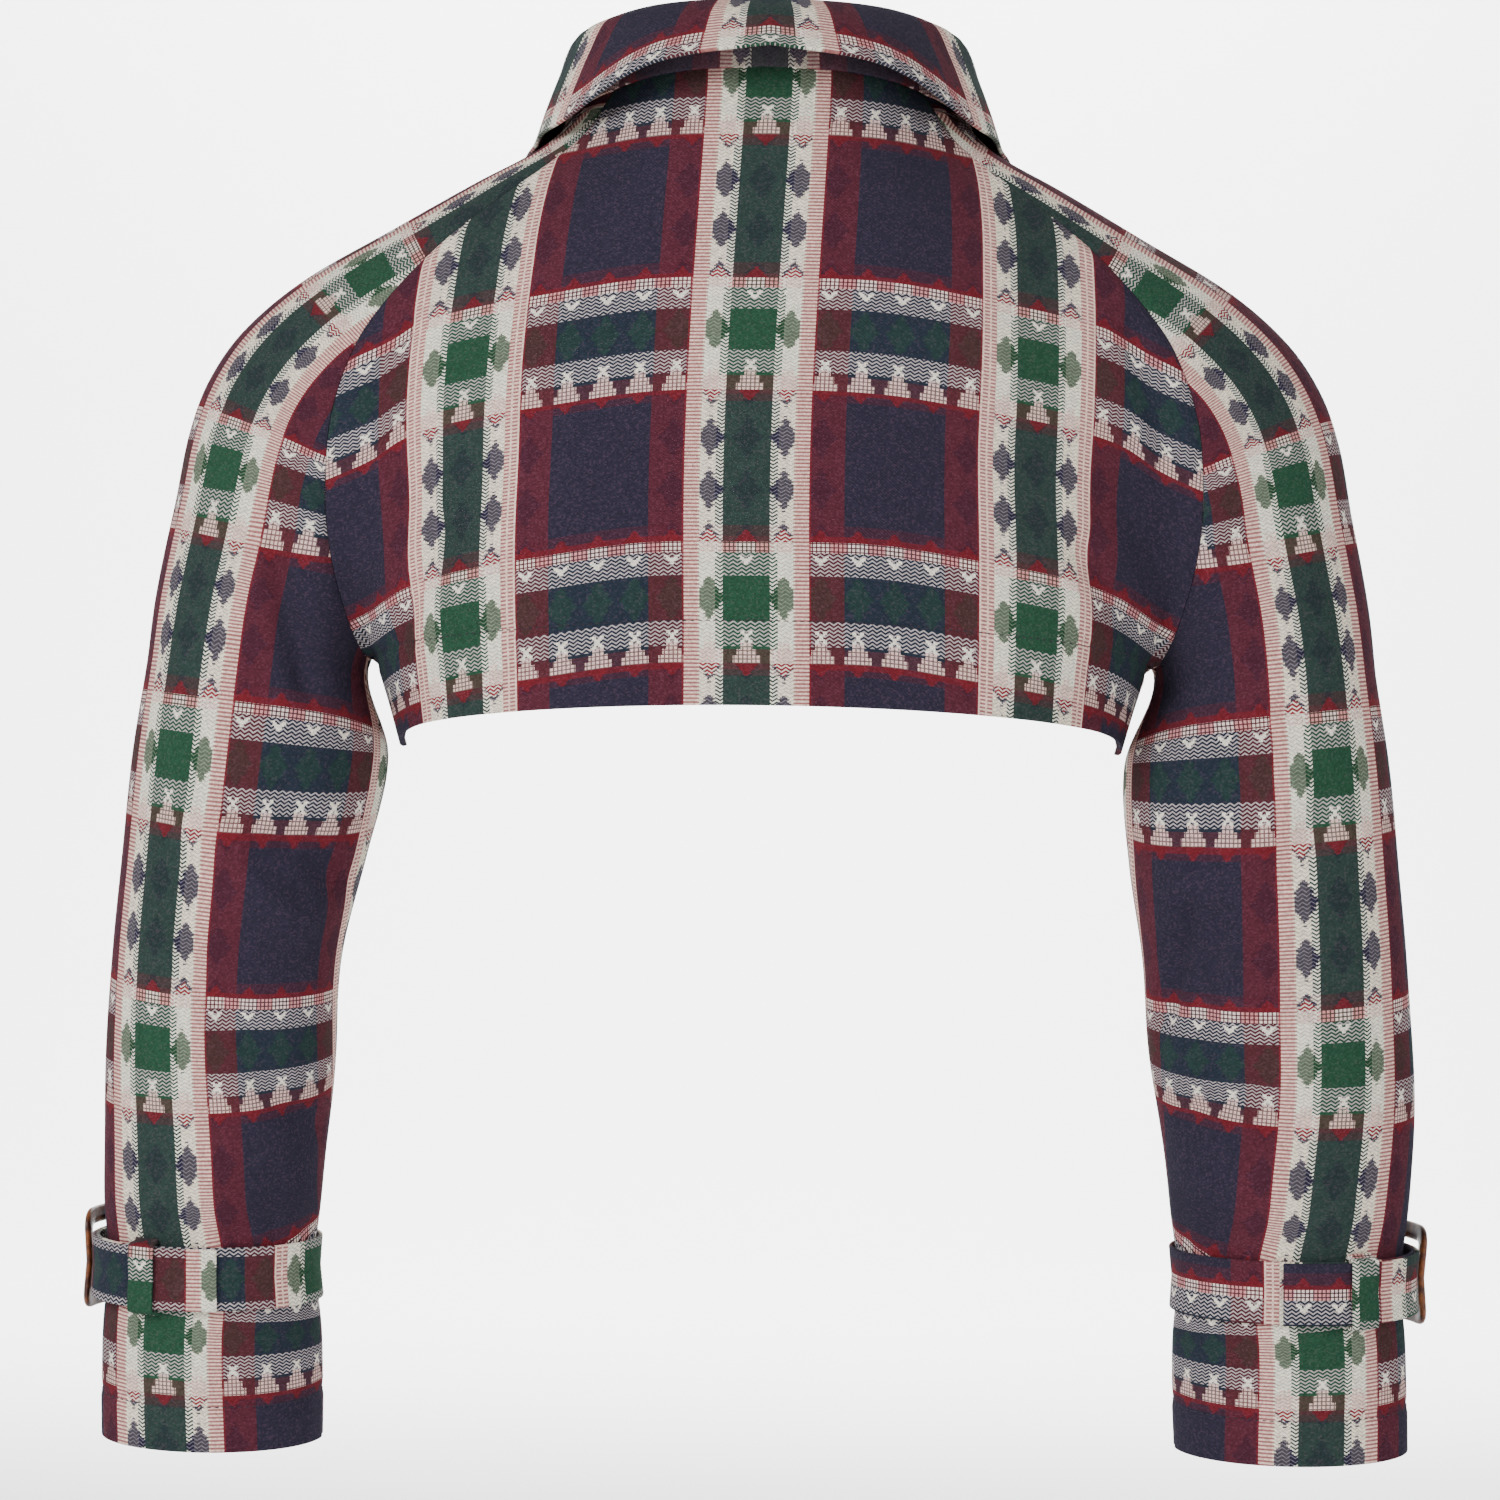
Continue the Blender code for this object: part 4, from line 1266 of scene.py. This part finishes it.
def build_sleeves():
    """The two raglan sleeves, their cuff hems stitched."""
    seam_back, seam_front = seams()
    grid = sleeve_grid()
    normal = outward(sleeve_form, grid)
    normal[:UPPER_ROWS + 1, -1] = edge_normals(seam_back)
    normal[:UPPER_ROWS + 1, 0] = edge_normals(seam_front)
    ridge = SLEEVE_COLUMNS // 2
    run = lengths(grid, 0)[:, ridge]
    run = run - np.interp(-SLEEVE_LINE_Z, -grid[:, ridge, 2], run)
    flat = develop(grid, normal, ridge, run)
    gathers = gather_height(grid, SLEEVE_COLUMNS + 1)
    sides = ("first_column", "last_column")
    for side in ("left", "right"):
        hung = posed(grid, side)
        facing = normal
        laid = flat.copy()
        laid[..., 0] -= stripe_at(side, grid[:, ridge, 2])[:, None]
        relief = hem_relief(hung, CUFF_HEM_DEPTH) + gathers
        if side == "right":
            hung, facing = mirrored(hung), mirrored(normal)
            laid, relief = laid[:, ::-1] * (-1, 1), relief[:, ::-1]
        outer = dressed(hung, facing, sides, relief)
        obj = cloth_object(f"sleeve_{side}_cloth", outer, facing, laid, settings().cloth_thickness / MM)
        hem = stitched(f"sleeve_{side}_hem_stitching", *row_at(outer, facing, CUFF_HEM_DEPTH))
        settled_cloth(obj, f"sleeve_{side}")


def collar_section(neck, roll, edge):
    """Points of one collar section: up the stand, over the roll, down the fall."""
    out = (edge - roll) * (1, 1, 0)
    out = out / np.linalg.norm(out)
    drop = edge - roll
    fall = np.linalg.norm(drop)
    up = np.array((0, 0, 1.0))
    stand = [neck + (roll - neck) * row["share"] - out * row["inward"] for row in rows_of(COLLAR_STAND)]
    over = [roll + (out * outward_share - up * down_share) * COLLAR_ROLL
            for outward_share, down_share in zip(COLLAR_ROLL_OUT, COLLAR_ROLL_DOWN)]
    down = [roll + drop * row["share"] + up * fall * row["up"] + out * row["out"]
            for row in rows_of(COLLAR_FALL)]
    return (neck, *stand, *over, *down, edge)


def build_collar():
    """The turned-down collar in one piece."""
    angles = np.linspace(-NECK_ANGLE_OPEN, NECK_ANGLE_OPEN, COLLAR_COLUMNS_COUNT + 1)
    base = neckline(angles)
    thickness = settings().cloth_thickness / MM
    columns = []
    for angle, neck in zip(angles, base):
        sign = math.copysign(1, angle)
        row = {name: float(read(COLLAR, name, abs(angle))) for name in COLLAR[0]}
        turn = math.radians(angle)
        edge_turn = math.radians(sign * row["edge_angle"])
        roll = np.array((math.sin(turn) * row["roll_radius"], math.cos(turn) * row["roll_radius"],
                         row["roll_z"]))
        edge = np.array((math.sin(edge_turn) * row["edge_radius"],
                         math.cos(edge_turn) * row["edge_radius"], row["edge_z"]))
        upward = (roll - neck) / np.linalg.norm(roll - neck)
        section = collar_section(neck + upward * COLLAR_LIFT, roll, edge)
        columns.append(along_points(section, np.linspace(0, 1, COLLAR_ROWS + 1)))
    grid = np.array(columns).transpose(1, 0, 2)
    fall = grid[COLLAR_ROWS // 2:]
    low = melted(fall) < COLLAR_CLEAR + thickness / 2
    lifted = settle(melted, fall, COLLAR_CLEAR + thickness / 2, rounds=6)
    grid[COLLAR_ROWS // 2:] = np.where(low[..., None], lifted, fall)
    normal = -grid_normals(grid)
    middle = lengths(grid[(COLLAR_ROWS * 3) // 4][None], 1)[0]
    across = np.repeat((middle - middle[-1] / 2)[None], COLLAR_ROWS + 1, axis=0)
    flat = np.stack((across, COLLAR_EDGE_V - edge_distance(grid, "last_row")), axis=-1)
    outer = grid + normal * thickness / 2
    obj = cloth_object("collar_cloth", outer, normal, flat, thickness)
    settled_cloth(obj, "collar")


def strap_lift(angles):
    """How far the strap stands off the sleeve at angles from the outer side."""
    return SEAM_GAP + STRAP_LOOSE * np.clip(np.cos(np.radians(angles)), 0, 1) ** 1.5


def on_cuff(angles, heights, lifts):
    """Points on the left cuff: angle round it, height above the strap's middle, lift off the cloth."""
    given = (np.asarray(values, float) for values in (angles, heights, lifts))
    angles, heights, lifts = np.broadcast_arrays(*given)
    reach = LOOP_HEIGHT / 2
    flat = angles.ravel()
    middle, top, bottom = (tilted_ring(arm_distance, STRAP_Z + h, flat) for h in (0, reach, -reach))
    height = heights.ravel()[:, None]
    points = middle + (np.where(height > 0, top, bottom) - middle) * np.abs(height) / reach
    points = points + outward(arm_distance, points) * lifts.ravel()[:, None]
    return points.reshape(angles.shape + (3,))


# Where each strap and loop is cut from the check, by side
TRIM_CUT_COLUMNS = ("tail_u", "strap_v", "loop_u", "loop_v")
TRIM_CUTS = {
    "left": (-14.5, 90.5, -7.0, 70.5),
    "right": (78.0, 65.5, -0.5, 80.5),
}


def build_straps():
    """The two cuff straps, once round and over themselves."""
    layer = STRAP_WALL + SEAM_GAP
    start = BUCKLE_CENTRE + math.degrees((BUCKLE_BAR / 2 + SEAM_GAP) / CUFF_RADIUS)
    travel = np.linspace(start, 360 + STRAP_TAIL, int((360 + STRAP_TAIL - start) / STRAP_STEP) + 1)
    heights = np.linspace(STRAP_WIDTH / 2, -STRAP_WIDTH / 2, STRAP_ROWS + 1)[:, None]
    rise = np.clip((travel - (BUCKLE_CENTRE + 360 - STRAP_RISE_START)) / STRAP_RISE, 0, 1)
    lift = strap_lift(travel) + rise * layer + STRAP_WALL
    around = (travel + 180) % 360 - 180
    made = on_cuff(around, heights, lift)
    for side, sign in SIDES:
        cut = dict(zip(TRIM_CUT_COLUMNS, TRIM_CUTS[side]))
        grid = posed(made, side) * (sign, 1, 1)
        normal = grid_normals(grid) * sign
        run = lengths(grid, 1)[STRAP_ROWS // 2]
        u = np.repeat((run - run[-1] + cut["tail_u"])[None], STRAP_ROWS + 1, axis=0)
        v = np.repeat((STRAP_WIDTH / 2 - heights) + cut["strap_v"], len(travel), axis=1)
        obj = cloth_object(f"strap_{side}_cloth", grid, normal, np.stack((u, v), axis=-1), STRAP_WALL)
        settled_cloth(obj, f"strap_{side}")


def build_loops():
    """The belt loop that holds each strap on the back of the cuff."""
    top = 2 * (STRAP_WALL + SEAM_GAP)
    reach = STRAP_WIDTH / 2
    thick = STRAP_WALL * 0.75
    base = float(strap_lift(LOOP_START))
    upper = ((LOOP_HEIGHT / 2, SEAM_GAP + thick), (reach + 2.4, SEAM_GAP + thick + 0.2),
             (reach + 1.9, base + top + thick * 0.5), (reach * 0.8, base + top + 0.2 + thick))
    lower = tuple((-height, lift) for height, lift in reversed(upper))
    profile = (*upper, (0, base + top + 0.3 + thick), *lower)
    path = np.array([(height, lift, 0) for height, lift in profile])
    path = along_points(path, np.linspace(0, 1, LOOP_ROWS + 1))
    angles = np.linspace(LOOP_START, LOOP_END, LOOP_COLUMNS + 1)[None]
    made = on_cuff(angles, path[:, 0, None], path[:, 1, None])
    for side, sign in SIDES:
        cut = dict(zip(TRIM_CUT_COLUMNS, TRIM_CUTS[side]))
        grid = posed(made, side) * (sign, 1, 1)
        normal = grid_normals(grid) * sign
        flat = np.stack((lengths(grid, 1) + cut["loop_u"], lengths(grid, 0) + cut["loop_v"]), axis=-1)
        obj = cloth_object(f"loop_{side}_cloth", grid, normal, flat, thick)
        settled_cloth(obj, f"loop_{side}")


def buckle_part(name, sections, closed):
    """A solid through like sections: a closed ring of them, or a run with filled ends."""
    bm = bmesh.new()
    loops = [[bm.verts.new(point * MM) for point in section] for section in sections]
    pairs = list(zip(loops, loops[1:] + loops[:1])) if closed else list(zip(loops, loops[1:]))
    count = len(loops[0])
    for loop, following in pairs:
        for k in range(count):
            bm.faces.new((loop[k], loop[(k + 1) % count], following[(k + 1) % count], following[k]))
    if not closed:
        for end in (loops[0], loops[-1]):
            bm.faces.new(end)
    bmesh.ops.recalc_face_normals(bm, faces=bm.faces[:])
    if bm.calc_volume(signed=True) < 0:
        bmesh.ops.reverse_faces(bm, faces=bm.faces[:])
    obj = linked(name, bm, (buckle_material(),))
    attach(obj, "root")
    return obj


def buckle_ring():
    """Rounded rectangle of the buckle's frame: places along the strap and across it."""
    length = BUCKLE_LENGTH / 2 - BUCKLE_RAIL / 2 - BUCKLE_ROUNDING
    height = BUCKLE_HEIGHT / 2 - BUCKLE_RAIL / 2 - BUCKLE_ROUNDING
    corners = ((1, 1), (-1, 1), (-1, -1), (1, -1))
    points = []
    for quarter, (sx, sy) in enumerate(corners):
        for step in range(BUCKLE_CORNER_STEPS + 1):
            turn = math.radians(90 * quarter + 90 * step / BUCKLE_CORNER_STEPS)
            points.append((sx * length + math.cos(turn) * BUCKLE_ROUNDING,
                           sy * height + math.sin(turn) * BUCKLE_ROUNDING, turn))
    ring = np.array(points)
    steps = []
    for here, following in zip(ring, np.roll(ring, -1, axis=0)):
        steps.append(here)
        if np.hypot(*(following[:2] - here[:2])) > BUCKLE_RAIL:
            steps.extend(here + (following - here) * (share, share, 0) for share in (0.25, 0.5, 0.75))
    return np.array(steps)


def signed_power(values, power):
    return np.sign(values) * np.abs(values) ** power


def build_buckles():
    """The curved brown buckles over the tails of the straps."""
    base = float(strap_lift(0)) + 2 * (STRAP_WALL + SEAM_GAP) + SEAM_GAP
    ring = buckle_ring()
    turn = np.linspace(0, 2 * math.pi, BUCKLE_SECTION_STEPS, endpoint=False)
    across = signed_power(np.cos(turn), BUCKLE_SQUARENESS[0]) * BUCKLE_RAIL / 2
    swell = signed_power(np.sin(turn), BUCKLE_SQUARENESS[1]) * BUCKLE_SWELL
    up = (swell + 1 - BUCKLE_SWELL) * BUCKLE_THICKNESS
    along = ring[:, 0, None] + np.cos(ring[:, 2, None]) * across
    heights = ring[:, 1, None] + np.sin(ring[:, 2, None]) * across
    angles = BUCKLE_CENTRE + np.degrees(along / CUFF_RADIUS)
    made = on_cuff(angles, heights, base + up)
    low = float(strap_lift(BUCKLE_CENTRE))
    half = BUCKLE_HEIGHT / 2 - BUCKLE_RAIL / 2
    places = np.linspace(-half, half, BUCKLE_BAR_ROWS)
    lifted = smoothstep((np.abs(places) - STRAP_WIDTH / 2) / (half - STRAP_WIDTH / 2))
    middle = low + STRAP_WALL * 0.5 + lifted * (base + BUCKLE_THICKNESS * 0.4 - low - STRAP_WALL * 0.5)
    bar_across = np.cos(turn) * BUCKLE_BAR / 2
    bar_up = np.sin(turn) * STRAP_WALL * 0.45
    bar = on_cuff(BUCKLE_CENTRE + np.degrees(bar_across / CUFF_RADIUS)[None], places[:, None],
                  middle[:, None] + bar_up)
    for side, sign in SIDES:
        ring_obj = buckle_part(f"buckle_{side}_frame", posed(made, side) * (sign, 1, 1), True)
        buckle_part(f"buckle_{side}_bar", posed(bar, side) * (sign, 1, 1), False)
        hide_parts(f"buckle_{side}")


# Studio, in metres: floor, backdrop, camera and lights
FLOOR_Z = -0.85
FLOOR_HALF = 5.2
SWEEP_START = -4.2
SWEEP_RADIUS = 1.0
SWEEP_TOP = 2.6
SWEEP_STEPS = 16
CAMERA_PLACE = (0.005, 3.2, -0.2895)
CAMERA_ROLL = 0.75
CAMERA_SENSOR = 36.0
VIEW_WIDTH = 0.7125
LIGHTS = (
    ("name", "x", "y", "z", "to_y", "to_z", "size", "power"),
    ("key", 1.9, 2.4, 0.9, 0.0, -0.3, 1.0, 74),
    ("fill", -1.9, 2.3, 0.1, 0.0, -0.3, 2.0, 24),
    ("front_key", -1.2, -2.2, 1.3, 0.0, -0.3, 1.6, 30),
    ("front_fill", 1.6, -1.9, 0.4, 0.0, -0.3, 2.0, 14),
    ("backdrop", 0.0, -3.3, 1.7, -4.9, -0.2, 2.4, 430),
)
WORLD_STRENGTH = 0.5


def build_stage():
    """A pale floor that sweeps up behind, soft lights and the camera of the photograph."""
    bm = bmesh.new()
    turns = np.linspace(0, math.pi / 2, SWEEP_STEPS + 1)
    profile = [(FLOOR_HALF, FLOOR_Z)]
    for turn in turns:
        rise = (1 - math.cos(turn)) * SWEEP_RADIUS
        profile.append((SWEEP_START - math.sin(turn) * SWEEP_RADIUS, FLOOR_Z + rise))
    profile.append((SWEEP_START - SWEEP_RADIUS, SWEEP_TOP))
    sides = [[bm.verts.new((x, y, z)) for y, z in profile] for x in (-FLOOR_HALF, FLOOR_HALF)]
    for k in range(len(profile) - 1):
        bm.faces.new((sides[0][k], sides[1][k], sides[1][k + 1], sides[0][k + 1]))
    bmesh.ops.recalc_face_normals(bm, faces=bm.faces[:])
    first = bm.faces[:][0]
    if first.normal.z < 0:
        bmesh.ops.reverse_faces(bm, faces=bm.faces[:])
    linked("studio_floor", bm, (studio_material(),))
    for light in rows_of(LIGHTS):
        lamp = bpy.data.lights.new(light["name"], "AREA")
        lamp.energy = light["power"]
        lamp.size = light["size"]
        holder = bpy.data.objects.new(light["name"], lamp)
        holder.location = (light["x"], light["y"], light["z"])
        aim = Vector((0, light["to_y"], light["to_z"])) - holder.location
        holder.rotation_euler = aim.to_track_quat("-Z", "Y").to_euler()
        bpy.context.scene.collection.objects.link(holder)
    world = bpy.data.worlds.new("studio")
    world.use_nodes = True
    world.node_tree.nodes["Background"].inputs["Color"].default_value = (1, 1, 1, 1)
    world.node_tree.nodes["Background"].inputs["Strength"].default_value = WORLD_STRENGTH
    bpy.context.scene.world = world
    lens = bpy.data.cameras.new("camera")
    lens.sensor_width = CAMERA_SENSOR
    lens.lens = CAMERA_SENSOR * CAMERA_PLACE[1] / VIEW_WIDTH
    camera = bpy.data.objects.new("camera", lens)
    roll = math.radians(CAMERA_ROLL)
    right = Vector((-math.cos(roll), 0, math.sin(roll)))
    up = Vector((math.sin(roll), 0, math.cos(roll)))
    turned = Matrix((right, up, Vector((0, 1, 0)))).transposed().to_4x4()
    camera.matrix_world = Matrix.Translation(CAMERA_PLACE) @ turned
    bpy.context.scene.collection.objects.link(camera)
    bpy.context.scene.camera = camera


class BoleroSettings(bpy.types.PropertyGroup):
    cloth_thickness: FloatProperty(name="Cloth thickness", description="Thickness of the woollen cloth",
                                   default=0.002, min=0.001, max=0.003, unit="LENGTH", subtype="DISTANCE")
    seam_depth: FloatProperty(name="Seam depth", description="How deep the cloth dips into a seam",
                              default=0.0009, min=0.0, max=0.002, unit="LENGTH", subtype="DISTANCE")


class BOLERO_OT_back(bpy.types.Operator):
    """Build the back panel with its stitched hem"""
    bl_idname = "bolero.back"
    bl_label = "Back"

    def execute(self, context):
        build_back()
        return {"FINISHED"}


class BOLERO_OT_fronts(bpy.types.Operator):
    """Build the two open front panels"""
    bl_idname = "bolero.fronts"
    bl_label = "Fronts"

    def execute(self, context):
        build_fronts()
        return {"FINISHED"}


class BOLERO_OT_sleeves(bpy.types.Operator):
    """Build the two raglan sleeves"""
    bl_idname = "bolero.sleeves"
    bl_label = "Sleeves"

    def execute(self, context):
        build_sleeves()
        return {"FINISHED"}


class BOLERO_OT_collar(bpy.types.Operator):
    """Build the turned-down collar"""
    bl_idname = "bolero.collar"
    bl_label = "Collar"

    def execute(self, context):
        build_collar()
        return {"FINISHED"}


class BOLERO_OT_straps(bpy.types.Operator):
    """Build the cuff straps and their belt loops"""
    bl_idname = "bolero.straps"
    bl_label = "Straps and loops"

    def execute(self, context):
        build_straps()
        build_loops()
        return {"FINISHED"}


class BOLERO_OT_buckles(bpy.types.Operator):
    """Build the two brown buckles"""
    bl_idname = "bolero.buckles"
    bl_label = "Buckles"

    def execute(self, context):
        build_buckles()
        return {"FINISHED"}


class BOLERO_OT_stage(bpy.types.Operator):
    """Build the studio floor, lights and camera"""
    bl_idname = "bolero.stage"
    bl_label = "Stage"

    def execute(self, context):
        build_stage()
        return {"FINISHED"}


OPERATORS = (BOLERO_OT_stage, BOLERO_OT_back, BOLERO_OT_fronts, BOLERO_OT_sleeves, BOLERO_OT_collar,
             BOLERO_OT_straps, BOLERO_OT_buckles)


class BOLERO_PT_panel(bpy.types.Panel):
    """Sidebar panel with the cloth's settings and a button for each group of pieces"""
    bl_idname = "BOLERO_PT_panel"
    bl_label = "Bolero jacket"
    bl_space_type = "VIEW_3D"
    bl_region_type = "UI"
    bl_category = "Bolero"

    def draw(self, context):
        self.layout.prop(context.scene.bolero, "cloth_thickness")
        self.layout.prop(context.scene.bolero, "seam_depth")
        for operator in OPERATORS:
            self.layout.operator(operator.bl_idname)


CLASSES = (BoleroSettings, *OPERATORS, BOLERO_PT_panel)


def register():
    for item in CLASSES:
        bpy.utils.register_class(item)
    bpy.types.Scene.bolero = PointerProperty(type=BoleroSettings)


def unregister():
    del bpy.types.Scene.bolero
    for item in reversed(CLASSES):
        bpy.utils.unregister_class(item)


def main():
    register()
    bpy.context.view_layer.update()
    bpy.ops.bolero.stage()
    bpy.ops.bolero.back()
    bpy.ops.bolero.fronts()
    bpy.ops.bolero.sleeves()
    bpy.ops.bolero.collar()
    bpy.ops.bolero.straps()
    bpy.ops.bolero.buckles()


if __name__ == "__main__":
    main()
